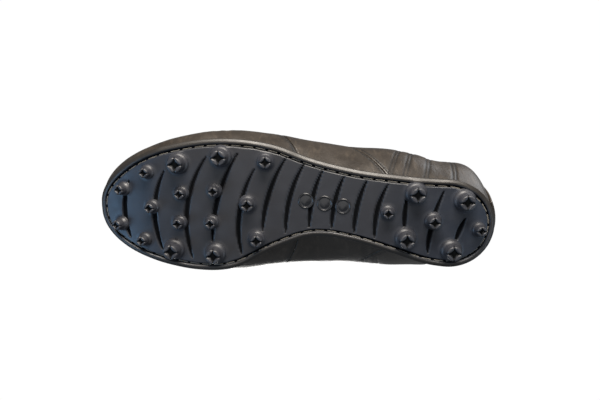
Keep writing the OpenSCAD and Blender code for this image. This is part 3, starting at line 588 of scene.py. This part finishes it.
def over_place(rear, front, angle):
    """Stations and angles of a panel over the ridge, from its rear seam to its front edge."""
    def where(a, b):
        q = mix(1, -1, b)
        side = 1 if q >= 0 else -1
        x = mix(rear(q * angle(rear(90 * abs(q)), side)), front, math.sin(math.pi / 2 * a))
        return x, q * angle(x, side)
    return where


def heel_place(reach, low, high):
    """Stations and angles of a panel round the back of the heel, from medial to lateral."""
    def where(a, b):
        turn = 2 * a - 1
        x = mix(SOLE_HEEL_X, reach, 1 - math.cos(math.pi / 2 * abs(turn)))
        w = mix(low(x), high(x), b)
        return x, -w if turn < 0 else w
    return where


def face_out(bm):
    """Turns all faces of an open panel to the outside of the shoe."""
    middle = Vector((0, 0, 0.03))
    if sum(face.normal.dot(face.calc_center_median() - middle) * face.calc_area() for face in bm.faces) < 0:
        bmesh.ops.reverse_faces(bm, faces=bm.faces)


def make_panel(name, where, n_a, n_b, depth, thick, finish, relief=None, roll=0.6, roll_w=1.4):
    """A sheet cut to a place on the last, with rolled edges and a thickness inwards."""
    bm = bmesh.new()
    groove = bm.verts.layers.float.new("sunk")
    bmesh.ops.create_grid(bm, x_segments=n_a, y_segments=n_b, size=0.5)
    middle = skin(*where(0.5, 0.5), 0)
    span_a, span_b = (sum(math.dist(skin(*where(*end), 0), middle) for end in ends)
                      for ends in (((0.02, 0.5), (0.98, 0.5)), ((0.5, 0), (0.5, 1))))
    for v in bm.verts:
        a, b = v.co.x + 0.5, v.co.y + 0.5
        x, w = where(a, b)
        near = min(min(a, 1 - a) * span_a, min(b, 1 - b) * span_b)
        d = depth + roll * (1 - unit(near / roll_w)) ** 2
        if relief:
            up, dark = relief(x, w)
            d -= up
            # marks where the finish paints shade into the furrows
            v[groove] = dark
        v.co = place(*skin(x, w, d))
    bmesh.ops.remove_doubles(bm, verts=bm.verts, dist=0.00001)
    bm.normal_update()
    face_out(bm)
    piece = new_piece(name, bm, finish)
    wall = piece.modifiers.new("thickness", "SOLIDIFY")
    wall.thickness = thick * MM
    wall.offset = -1
    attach(piece, "root")
    return piece


# Aniline-dyed calf: fine pebble about 1 mm, soft creases, a satin top coat, and a painted warm
# sheen that lightens the raised crests of the creases. The stitch furrows carry painted shade and look black.
upper_leather = new_finish("dyed_calf_leather")
spot = add(upper_leather, "ShaderNodeTexCoord").outputs["Object"]
warp = add(upper_leather, "ShaderNodeTexNoise", {"Vector": spot, "Scale": 60, "Detail": 5}).outputs[0]
pebble = add(upper_leather, "ShaderNodeTexVoronoi", {"Vector": spot, "Scale": 950},
             feature="SMOOTH_F1").outputs[0]
pores = add(upper_leather, "ShaderNodeTexNoise", {"Vector": spot, "Scale": 1500, "Detail": 4}).outputs[0]
stretched = add(upper_leather, "ShaderNodeMapping", {"Vector": spot, "Scale": (1.0, 0.35, 0.35)}).outputs[0]
folds = add(upper_leather, "ShaderNodeTexNoise",
            {"Vector": stretched, "Scale": 260, "Detail": 6, "Roughness": 0.62, "Distortion": 0.8}).outputs[0]
ground = add(upper_leather, "ShaderNodeMix", {0: warp, 6: tint("#181512"), 7: tint("#302a24")},
             data_type="RGBA").outputs[2]
# Painted warm sheen: the raised crests of the folds are lighter and browner
fold_crest_sheen = add(upper_leather, "ShaderNodeMapRange", {0: folds, 1: 0.5, 2: 0.72, 3: 0.0, 4: 0.4}).outputs[0]
ground = add(upper_leather, "ShaderNodeMix", {0: fold_crest_sheen, 6: ground, 7: tint("#473f36")},
             data_type="RGBA").outputs[2]
# Painted shade: the stitch furrows go near black
depth = add(upper_leather, "ShaderNodeAttribute", attribute_name="sunk").outputs["Fac"]
ground = add(upper_leather, "ShaderNodeMix", {0: depth, 6: ground, 7: tint("#0b0908")},
             data_type="RGBA").outputs[2]
gloss = add(upper_leather, "ShaderNodeMapRange", {0: warp, 1: 0.3, 2: 0.7, 3: 0.30, 4: 0.44}).outputs[0]
bump = add(upper_leather, "ShaderNodeBump", {"Height": pebble, "Strength": 0.28, "Distance": 0.0002})
bump = add(upper_leather, "ShaderNodeBump",
           {"Height": folds, "Strength": 0.35, "Distance": 0.0006, "Normal": bump.outputs[0]})
bump = add(upper_leather, "ShaderNodeBump",
           {"Height": pores, "Strength": 0.2, "Distance": 0.0001, "Normal": bump.outputs[0]})
close_finish(upper_leather, add(upper_leather, "ShaderNodeBsdfPrincipled",
                                {"Base Color": ground, "Roughness": gloss, "IOR": 1.48,
                                 "Normal": bump.outputs[0]}))

# Quilting rows on the quarters: station at the foot and higher up; each is sewn twice
ROW_GAP = 2.5
ROWS = {1: [(-66, -90), (-77, -97), (-92, -108), (-112, -122)],
        -1: [(-50, -60), (-57, -69), (-96, -110)]}
# Distances of the double rows of stitching from the seams they hold
VAMP_ROWS, QUARTER_ROWS = (2.2, 4.6), (-2.4, 2.4)
FURROW_W, FURROW_DEPTH = 0.62, 0.3
HIDE_WAVE, HIDE_RIPPLE = 0.45, 0.05
ROW_DIP, ROW_DIP_W = 0.15, 3.0
HEEL_PUFF = 0.35
CREASE_X, CREASE_W, CREASE_DEPTH = 58, 9, 0.30


def row_x(row, w):
    return mix(row[0], row[1], unit((90 - abs(w)) / 40) ** 0.8 * (1 + 0.25 * (unit((50 - abs(w)) / 40))))


def furrow(away):
    return math.exp(-(away / FURROW_W) ** 2)


def seams_at(x, w):
    """Height of the leather over its plain form, and how much painted shade darkens its furrows."""
    side = 1 if w >= 0 else -1
    up = HIDE_WAVE * noise.noise(Vector((x * 0.045, w * 0.05, 3.0 + side)))
    up += HIDE_RIPPLE * noise.noise(Vector((x * 0.16, w * 0.12, 9.0)))
    dark = 0.0
    for off in VAMP_ROWS:
        dark = max(dark, furrow((x - vamp_seam(w) - off) * 0.85))
    for off in QUARTER_ROWS:
        dark = max(dark, furrow((x - quarter_seam(w) - off) * 0.75))
    for row in ROWS[side]:
        centre = row_x(row, w)
        for off in (-ROW_GAP / 2, ROW_GAP / 2):
            dark = max(dark, furrow((x - centre - off) * 0.85))
        up -= ROW_DIP * math.exp(-((x - centre) / ROW_DIP_W) ** 2)
    if side == 1 and x < -60:
        up += HEEL_PUFF * ease(unit((-60 - x) / 20)) * ease(unit((75 - abs(w)) / 20))
    crease = (x - CREASE_X + 0.08 * abs(w)) / CREASE_W
    if abs(crease) < 2.5:
        up -= CREASE_DEPTH * math.exp(-crease * crease) * (0.5 + 0.5 * math.cos(crease * 7.5 + w * 0.03))
    return up - FURROW_DEPTH * dark, dark


vamp = make_panel("vamp_leather", over_place(lambda w: vamp_seam(w) + SEAM_GAP, TOE_X - 0.05,
                                             lambda x, side: 90), 130, 190, 0, LEATHER_T,
                  upper_leather, seams_at)
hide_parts("vamp")
for word, side in (("lateral", 1), ("medial", -1)):
    middle = make_panel("middle_leather_" + word,
                        side_place(side, lambda w: quarter_seam(w) + SEAM_GAP / 2, vamp_seam,
                                   lambda x: throat_angle(x, side)), 110, 100, 0, LEATHER_T,
                        upper_leather, seams_at)
    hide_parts("midpanel_" + word)
    quarter = make_panel("quarter_leather_" + word,
                         side_place(side, lambda w: SOLE_HEEL_X + 0.05,
                                    lambda w: quarter_seam(w) - SEAM_GAP / 2, collar_angle, True),
                         240, 90, 0, LEATHER_T, upper_leather, seams_at)
    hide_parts("quarter_" + word)
strip = make_panel("back_strip", heel_place(SOLE_HEEL_X + 3.2, lambda x: 88,
                                            lambda x: collar_angle(x) + 0.5), 24, 80,
                   -LEATHER_T - GAP, LEATHER_T, upper_leather, roll=0.5, roll_w=1.0)
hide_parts("backstay")

# ---------------------------------------------------------------------------
# Upper stitching. Fine bonded thread in short stitches that lie in furrows
# along every seam, in double rows over the quarters and at the collar.
# ---------------------------------------------------------------------------
# Bonded nylon, dyed black: fine plies 0.6 mm long with a thin resin coat, a little duller
# than the leather beside it
dark_thread = new_finish("bonded_nylon_thread")
spot = add(dark_thread, "ShaderNodeTexCoord").outputs["Object"]
plies = add(dark_thread, "ShaderNodeTexWave", {"Vector": spot, "Scale": 1600, "Distortion": 2},
            wave_type="BANDS", bands_direction="DIAGONAL").outputs[0]
ground = add(dark_thread, "ShaderNodeMix", {0: plies, 6: tint("#0e0c0a"), 7: tint("#231f1a")},
             data_type="RGBA").outputs[2]
bump = add(dark_thread, "ShaderNodeBump", {"Height": plies, "Strength": 0.5, "Distance": 0.0001})
close_finish(dark_thread, add(dark_thread, "ShaderNodeBsdfPrincipled",
                              {"Base Color": ground, "Roughness": 0.5, "IOR": 1.5,
                               "Normal": bump.outputs[0]}))
bm = bmesh.new()


def stitch_row(path, pitch=2.7, length=2.1, thick=0.27):
    """Lays short stitches end to end along a row of stations and angles."""
    points = [Vector(skin(x, w, 0.16 - seams_at(x, w)[0])) for x, w in path]
    run, place_at = 0.0, pitch / 2
    for k in range(len(points) - 1):
        step = points[k + 1] - points[k]
        while step.length > 0 and run + step.length >= place_at:
            at = points[k] + step * ((place_at - run) / step.length)
            made = bmesh.ops.create_uvsphere(bm, u_segments=6, v_segments=5, radius=1)["verts"]
            turn = step.to_track_quat("X", "Z").to_matrix().to_4x4()
            flat = Matrix.Diagonal((length / 2 * MM, thick * 1.25 * MM, thick * MM, 1))
            turned = Matrix.Rotation(math.pi / 2, 4, "Y")
            seat = Matrix.Translation(place(*at))
            bmesh.ops.transform(bm, matrix=seat @ turn @ flat @ turned, verts=made)
            place_at += pitch
        run += step.length


def angles(low, high, n=60):
    return [mix(low, high, k / n) for k in range(n + 1)]


for side in (1, -1):
    for off in VAMP_ROWS:
        stitch_row([(vamp_seam(w) + off, side * w) for w in angles(84, 14)])
    for off in QUARTER_ROWS:
        stitch_row([(quarter_seam(w) + off, side * w) for w in angles(84, 34)])
    for row in ROWS[side]:
        for off in (-ROW_GAP / 2, ROW_GAP / 2):
            path = [(row_x(row, w) + off, side * w) for w in angles(84, 20)]
            stitch_row([(x, w) for x, w in path if abs(w) > collar_angle(x) + 4])
    stitch_row([(x, side * (collar_angle(x) + 3.2)) for x in angles(SOLE_HEEL_X + 6, -28)])
    stitch_row([(x, side * angle_at_offset(x, side, THROAT_HALF_W + 2.4)) for x in angles(-16, 40)])
sewing = new_piece("upper_stitching", bm, dark_thread)
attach(sewing, "root")

# ---------------------------------------------------------------------------
# Linings. Knitted nylon on thin foam, bonded behind the leather of the vamp,
# the quarters and the heel, cut to meet edge to edge inside.
# ---------------------------------------------------------------------------
# Warp-knitted nylon mesh bonded to thin foam: dark loops about 1.6 mm apart, matt, with the
# soft sheen of its fibre ends
knit_lining = new_finish("warp_knit_nylon")
spot = add(knit_lining, "ShaderNodeTexCoord").outputs["Object"]
loops = add(knit_lining, "ShaderNodeTexVoronoi", {"Vector": spot, "Scale": 620},
            feature="SMOOTH_F1").outputs[0]
ground = add(knit_lining, "ShaderNodeMix", {0: loops, 6: tint("#3f3d3b"), 7: tint("#191819")},
             data_type="RGBA").outputs[2]
bump = add(knit_lining, "ShaderNodeBump", {"Height": loops, "Strength": 0.6, "Distance": 0.0003})
close_finish(knit_lining, add(knit_lining, "ShaderNodeBsdfPrincipled",
                              {"Base Color": ground, "Roughness": 0.85, "Sheen Weight": 0.25,
                               "Normal": bump.outputs[0]}))
HEEL_LINING_X, COLLAR_FRONT_X = -78.0, -25.0
COLLAR_PAD_H, PAD_SEAM_GAP = 15, 1.2


def pad_angle(x):
    return angle_at_height(x, smooth(COLLAR_HEIGHTS, share(x)) - COLLAR_PAD_H)


def lining_top(x, side):
    return mix(pad_angle(min(x, COLLAR_FRONT_X)) + PAD_SEAM_GAP, throat_angle(x, side),
               ease(unit((x - COLLAR_FRONT_X) / 20)))


piece = make_panel("vamp_lining_knit", over_place(lambda w: vamp_seam(w) + SEAM_GAP, TOE_X - 0.05,
                                                  lambda x, side: 90), 60, 90, LINING_D, LINING_T,
                   knit_lining, roll=0.0)
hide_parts("vamp_lining")
piece = make_panel("heel_lining_knit", heel_place(HEEL_LINING_X, lambda x: 90,
                                                  lambda x: pad_angle(x) + PAD_SEAM_GAP), 80, 40, LINING_D,
                   LINING_T, knit_lining, roll=0.0)
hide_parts("heel_lining")
for word, side in (("lateral", 1), ("medial", -1)):
    def where(a, b, side=side):
        seam = vamp_seam(mix(90, throat_angle(46, side), b)) - SEAM_GAP
        x = mix(HEEL_LINING_X + SEAM_GAP, seam, a)
        return x, side * mix(90, lining_top(x, side), b)
    piece = make_panel("quarter_lining_knit_" + word, where, 70, 40, LINING_D, LINING_T,
                       knit_lining, roll=0.0)
    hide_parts("quarter_lining_" + word)

# ---------------------------------------------------------------------------
# Collar. A soft foam roll under the edge of the mouth, covered by the same
# knit, plump in the middle and pinched thin where it is sewn to the leather.
# ---------------------------------------------------------------------------
PAD_T, PAD_D = 4.5, BACKING_D + 0.6
bm = bmesh.new()
bmesh.ops.create_grid(bm, x_segments=150, y_segments=36, size=0.5)
for v in bm.verts:
    turn, loop = 2 * v.co.x, v.co.y + 0.5
    x = mix(SOLE_HEEL_X, COLLAR_FRONT_X, 1 - math.cos(math.pi / 2 * abs(turn)))
    rise_up = 0.5 - 0.5 * math.cos(2 * math.pi * loop)
    plump = math.sin(math.pi * rise_up) ** 0.5 if 0 < rise_up < 1 else 0.0
    end = unit((1 - abs(turn)) / 0.06) ** 0.5
    full = mix(0.15, PAD_T + GAP + LINING_T, plump) * end
    centre = PAD_D + (PAD_T + LINING_T) / 2
    d = centre + (full / 2 if loop > 0.5 else -full / 2)
    d = min(d, centre + full / 2 - 0.35 * (1 - math.cos(4 * math.pi * rise_up)) * end)
    w = mix(pad_angle(x), collar_angle(x) + 0.5, rise_up)
    v.co = place(*skin(x, -w if turn < 0 else w, d))
bmesh.ops.remove_doubles(bm, verts=bm.verts, dist=0.00001)
bmesh.ops.holes_fill(bm, edges=[e for e in bm.edges if e.is_boundary], sides=0)
bmesh.ops.recalc_face_normals(bm, faces=bm.faces)
collar = new_piece("collar_roll", bm, knit_lining)
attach(collar, "root")
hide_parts("collar_foam", "collar_lining")

# ---------------------------------------------------------------------------
# Tongue. A leather face over a soft pad covered with knit. It is sewn under
# the front of the lacing gap and swings up and forward there.
# ---------------------------------------------------------------------------
TONGUE_TOP_X, TONGUE_FRONT_X = -46.0, 50.0
TONGUE_HALF_W, TONGUE_PAD_T = 27, 5.0
TONGUE_DEPTH, TONGUE_ROOT_DEPTH, TONGUE_ROOT_L = 3.7, 2.05, 14


def tongue_half(x):
    s = unit((x - TONGUE_TOP_X) / 16)
    taper = mix(1, 0.72, unit(x / TONGUE_FRONT_X))
    return TONGUE_HALF_W * taper * mix(0.62, 1, math.sqrt(1 - (1 - s) ** 2))


def tongue_face_d(x):
    root = ease(unit((x - TONGUE_FRONT_X + TONGUE_ROOT_L) / TONGUE_ROOT_L))
    return INSIDE_D + mix(TONGUE_DEPTH, TONGUE_ROOT_DEPTH, root)


def tongue_at(a, b, trim):
    x = mix(TONGUE_TOP_X + trim, TONGUE_FRONT_X - trim, 1 - math.cos(math.pi / 2 * a))
    q = mix(1, -1, b)
    return x, q * angle_at_offset(x, 1 if q >= 0 else -1, tongue_half(x) - trim)


def make_tongue(name, trim, top, thick, finish, n_a, n_b):
    """A closed, rounded slab that follows the tongue's face, from a depth and a thickness."""
    bm = bmesh.new()
    for low in (False, True):
        verts = bmesh.ops.create_grid(bm, x_segments=n_a, y_segments=n_b, size=0.5)["verts"]
        for v in verts:
            a, b = v.co.x + 0.5, v.co.y + 0.5
            x, w = tongue_at(a, b, trim)
            edge = thick * 0.9 + 1
            inner = unit(min(a, 1 - a) * 96 / edge) * unit(min(b, 1 - b) * 50 / edge)
            half = thick / 2 * math.sqrt(1 - (1 - inner) ** 2)
            d = top + thick / 2 + (half if low else -half)
            v.co = place(*skin(x, w, tongue_face_d(x) + d))
    bmesh.ops.remove_doubles(bm, verts=bm.verts, dist=0.00001)
    bmesh.ops.recalc_face_normals(bm, faces=bm.faces)
    piece = new_piece(name, bm, finish)
    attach(piece, "tongue")
    return piece


tongue_face = make_tongue("tongue_leather_face", 0, 0, LEATHER_T, upper_leather, 110, 80)
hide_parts("tongue_leather")
tongue_pad = make_tongue("tongue_pad", 0.6, LEATHER_T + GAP, TONGUE_PAD_T, knit_lining, 90, 60)
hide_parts("tongue_foam", "tongue_lining")

# ---------------------------------------------------------------------------
# Sockliner. A moulded foam insole with a brushed knit face, loose on the
# insole board, with its edge rounded over.
# ---------------------------------------------------------------------------
# Brushed knit on moulded foam: a short dark nap of about 0.7 mm, matt, worn paler in
# patches about 20 mm across
sock_knit = new_finish("brushed_knit_on_foam")
spot = add(sock_knit, "ShaderNodeTexCoord").outputs["Object"]
nap = add(sock_knit, "ShaderNodeTexNoise", {"Vector": spot, "Scale": 1400, "Detail": 5}).outputs[0]
patches = add(sock_knit, "ShaderNodeTexNoise", {"Vector": spot, "Scale": 45, "Detail": 3}).outputs[0]
ground = add(sock_knit, "ShaderNodeMix", {0: nap, 6: tint("#18181a"), 7: tint("#3d3c3e")},
             data_type="RGBA").outputs[2]
ground = add(sock_knit, "ShaderNodeMix", {0: patches, 6: ground, 7: tint("#2b2a2a")},
             data_type="RGBA").outputs[2]
bump = add(sock_knit, "ShaderNodeBump", {"Height": nap, "Strength": 0.5, "Distance": 0.0003})
close_finish(sock_knit, add(sock_knit, "ShaderNodeBsdfPrincipled",
                            {"Base Color": ground, "Roughness": 0.9, "Sheen Weight": 0.3,
                             "Normal": bump.outputs[0]}))
RIM_LIP, SOCK_FIT = 3, 0.7
FILLER_T, BOARD_T, SOCK_T = 1.8, 1.8, 3.5
SOCK_INSET = RIM_LIP + INSIDE_D + SOCK_FIT
SOCK_LOW = PLATE_T + GAP + FILLER_T + GAP + BOARD_T + GAP
SOCK_EDGE_DROP, SOCK_EDGE_W = 1.6, 2.0
bm = bmesh.new()
for top in (True, False):
    verts = bmesh.ops.create_grid(bm, x_segments=130, y_segments=44, size=0.5)["verts"]
    for v in verts:
        a, q = v.co.x + 0.5, 2 * v.co.y
        x = SOLE_HEEL_X + SOLE_L * (1 - math.cos(math.pi * a)) / 2
        left, right = plate_edge(x, 1, SOCK_INSET), plate_edge(x, -1, SOCK_INSET)
        y = mix(left[1], right[1], 0.5 - q / 2)
        half = abs(left[1] - right[1]) / 2
        near = min((1 - abs(q)) * half, (left[0] - (SOLE_HEEL_X + SOCK_INSET)) * 1.4,
                   (SOLE_HEEL_X + SOLE_L - SOCK_INSET - left[0]) * 1.4)
        round_off = SOCK_EDGE_DROP * (1 - math.sqrt(max(0, 1 - (1 - unit(near / SOCK_EDGE_W)) ** 2)))
        low = plate_z(left[0]) + SOCK_LOW
        z = low + (SOCK_T - round_off if top else 0)
        v.co = place(left[0], y, z if near > 0.001 else low + 0.9)
bmesh.ops.remove_doubles(bm, verts=bm.verts, dist=0.00001)
bmesh.ops.recalc_face_normals(bm, faces=bm.faces)
sock = new_piece("insole_sock", bm, sock_knit)
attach(sock, "root")
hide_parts("sockliner")

# ---------------------------------------------------------------------------
# Bottom layers and stiffeners. Steel shank, cork filler, the leather margin
# turned under, the fibre board, and the moulded puff and counter.
# ---------------------------------------------------------------------------
def plain_stock(name, dark, light, size_mm, rough, metal=0.0, height=0.0002, strength=0.3):
    """A finish for sheet stock: two colours mottled at one size, with its grain in relief."""
    made = new_finish(name)
    spot = add(made, "ShaderNodeTexCoord").outputs["Object"]
    mottle = add(made, "ShaderNodeTexNoise",
                 {"Vector": spot, "Scale": 1 / (size_mm * MM), "Detail": 5}).outputs[0]
    ground = add(made, "ShaderNodeMix", {0: mottle, 6: tint(dark), 7: tint(light)},
                 data_type="RGBA").outputs[2]
    gloss = add(made, "ShaderNodeMapRange",
                {0: mottle, 1: 0.3, 2: 0.7, 3: rough - 0.06, 4: rough + 0.08}).outputs[0]
    bump = add(made, "ShaderNodeBump", {"Height": mottle, "Strength": strength, "Distance": height})
    return close_finish(made, add(made, "ShaderNodeBsdfPrincipled",
                                  {"Base Color": ground, "Roughness": gloss, "Metallic": metal,
                                   "Normal": bump.outputs[0]}))


# Each is left as its maker delivers it, since none of them is seen on a finished shoe
for node, name, dark, light, size_mm, rough, metal, slot in (
        ("shank", "zinc_plated_spring_steel", "#8f9296", "#b4b7bb", 0.8, 0.34, 1.0, "steel"),
        ("lasting_margin", "split_leather", "#1a1613", "#332c26", 0.9, 0.8, 0.0, "upper_leather"),
        ("insole_board", "cellulose_fibre_board", "#8d7350", "#b59a74", 0.7, 0.85, 0.0, "board"),
        ("toe_puff", "resin_stiffened_felt", "#a29c8d", "#c9c3b4", 0.5, 0.8, 0.0, "stiffener"),
        ("heel_counter", "moulded_fibre_counter", "#a29c8d", "#c9c3b4", 0.5, 0.8, 0.0, "stiffener")):
    finish_node(node, plain_stock(name, dark, light, size_mm, rough, metal))
cork = plain_stock("pressed_cork", "#6b4a2c", "#b98d5c", 1.6, 0.85, strength=0.8)
finish_node("bottom_filler", cork)
webbing = plain_stock("woven_stay_tape", "#1c1b1a", "#3a3835", 0.4, 0.85)
finish_node("eyestay_lateral", webbing)
finish_node("eyestay_medial", webbing)

# ---------------------------------------------------------------------------
# Eyelets and lace. Black enamelled brass tubes flared over the leather, and
# two runs of flat braided lace that cross over the gap.
# ---------------------------------------------------------------------------
# Enamel baked over brass covers the metal, so it is black and smooth, with a clear gloss
finish_node("eyelets", plain_stock("black_enamelled_brass", "#0f0f11", "#232427", 0.6, 0.25))
# Flat braid of textured polyester: strands about 2 mm wide that cross at a slant, matt black
lace_braid = new_finish("flat_braided_polyester")
spot = add(lace_braid, "ShaderNodeTexCoord").outputs["Object"]
one_way = add(lace_braid, "ShaderNodeMapping", {"Vector": spot, "Rotation": (0.5, 0.3, 0.7)}).outputs[0]
strands = add(lace_braid, "ShaderNodeTexWave", {"Vector": one_way, "Scale": 500, "Distortion": 1.0},
              wave_type="BANDS", bands_direction="X").outputs[0]
over = add(lace_braid, "ShaderNodeTexWave", {"Vector": one_way, "Scale": 500, "Distortion": 1.0},
           wave_type="BANDS", bands_direction="Y").outputs[0]
braid = add(lace_braid, "ShaderNodeMath", {0: strands, 1: over}, operation="MULTIPLY").outputs[0]
ground = add(lace_braid, "ShaderNodeMix", {0: braid, 6: tint("#101010"), 7: tint("#3b3a39")},
             data_type="RGBA").outputs[2]
bump = add(lace_braid, "ShaderNodeBump", {"Height": braid, "Strength": 0.7, "Distance": 0.0003})
close_finish(lace_braid, add(lace_braid, "ShaderNodeBsdfPrincipled",
                             {"Base Color": ground, "Roughness": 0.75, "Sheen Weight": 0.2,
                              "Normal": bump.outputs[0]}))
finish_node("lace", lace_braid)

# ---------------------------------------------------------------------------
# Studio. A pale floor under the studs that is seen from above only, a white
# surround, and soft lamps: warm from the outer side, cool from toe and heel.
# ---------------------------------------------------------------------------
bm = bmesh.new()
bmesh.ops.create_grid(bm, x_segments=2, y_segments=2, size=3.0)
# Matt white paper with fibres of about 2.5 mm. It glows a little, so its far side stays pale.
floor_finish = new_finish("matt_white_paper")
behind = add(floor_finish, "ShaderNodeNewGeometry").outputs["Backfacing"]
spot = add(floor_finish, "ShaderNodeTexCoord").outputs["Object"]
fibres = add(floor_finish, "ShaderNodeTexNoise", {"Vector": spot, "Scale": 400, "Detail": 3}).outputs[0]
ground = add(floor_finish, "ShaderNodeMix", {0: fibres, 6: tint("#eeeeec"), 7: tint("#f4f4f2")},
             data_type="RGBA").outputs[2]
paper = add(floor_finish, "ShaderNodeBsdfPrincipled",
            {"Base Color": ground, "Roughness": 0.9, "Emission Color": (1, 1, 1, 1),
             "Emission Strength": 0.42}).outputs[0]
clear = add(floor_finish, "ShaderNodeBsdfTransparent").outputs[0]
close_finish(floor_finish, add(floor_finish, "ShaderNodeMixShader", {0: behind, 1: paper, 2: clear}))
floor = new_piece("floor", bm, floor_finish)
floor.visible_shadow = False
floor.visible_diffuse = False
floor.visible_glossy = False
floor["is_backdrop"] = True


def softbox(name, at, size, power, colour):
    """A square lamp that faces the middle of the shoe."""
    lamp = bpy.data.lights.new(name, "AREA")
    lamp.shape = "RECTANGLE"
    lamp.size, lamp.size_y = size
    lamp.energy = power
    lamp.color = colour
    box = bpy.data.objects.new(name, lamp)
    at = Vector(at)
    aim = (at - Vector((0, 0, 0.04))).to_track_quat("Z", "Y").to_matrix().to_4x4()
    box.matrix_world = Matrix.Translation(at) @ aim
    bpy.context.scene.collection.objects.link(box)


softbox("outer_side_lamp", (-0.05, 0.50, -0.21), (0.38, 0.30), 10.5, (1.0, 0.93, 0.84))
softbox("under_lamp", (0.05, 0.05, -0.75), (0.7, 0.5), 1.0, (1.0, 0.98, 0.96))
softbox("toe_lamp", (0.55, -0.20, -0.25), (0.35, 0.35), 1.9, (0.36, 0.64, 1.0))
softbox("heel_lamp", (-0.55, -0.20, -0.25), (0.35, 0.35), 0.9, (0.62, 0.80, 1.0))
softbox("top_lamp", (0.25, -0.35, 0.80), (0.8, 0.6), 10, (1.0, 0.98, 0.95))
softbox("rear_lamp", (-0.6, 0.45, 0.45), (0.6, 0.4), 1.8, (0.95, 0.97, 1.0))
world = bpy.data.worlds.new("surround")
bpy.context.scene.world = world
world.use_nodes = True
world.node_tree.nodes.clear()
seen = add(world, "ShaderNodeLightPath").outputs["Is Camera Ray"]
white = add(world, "ShaderNodeBackground", {"Color": (1, 1, 1, 1), "Strength": 1.02}).outputs[0]
soft = add(world, "ShaderNodeBackground", {"Color": (0.93, 0.96, 1.0, 1), "Strength": 0.20}).outputs[0]
both = add(world, "ShaderNodeMixShader", {0: seen, 1: soft, 2: white}).outputs[0]
add(world, "ShaderNodeOutputWorld", {"Surface": both})
bpy.context.scene.view_settings.view_transform = "Standard"

low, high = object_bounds()
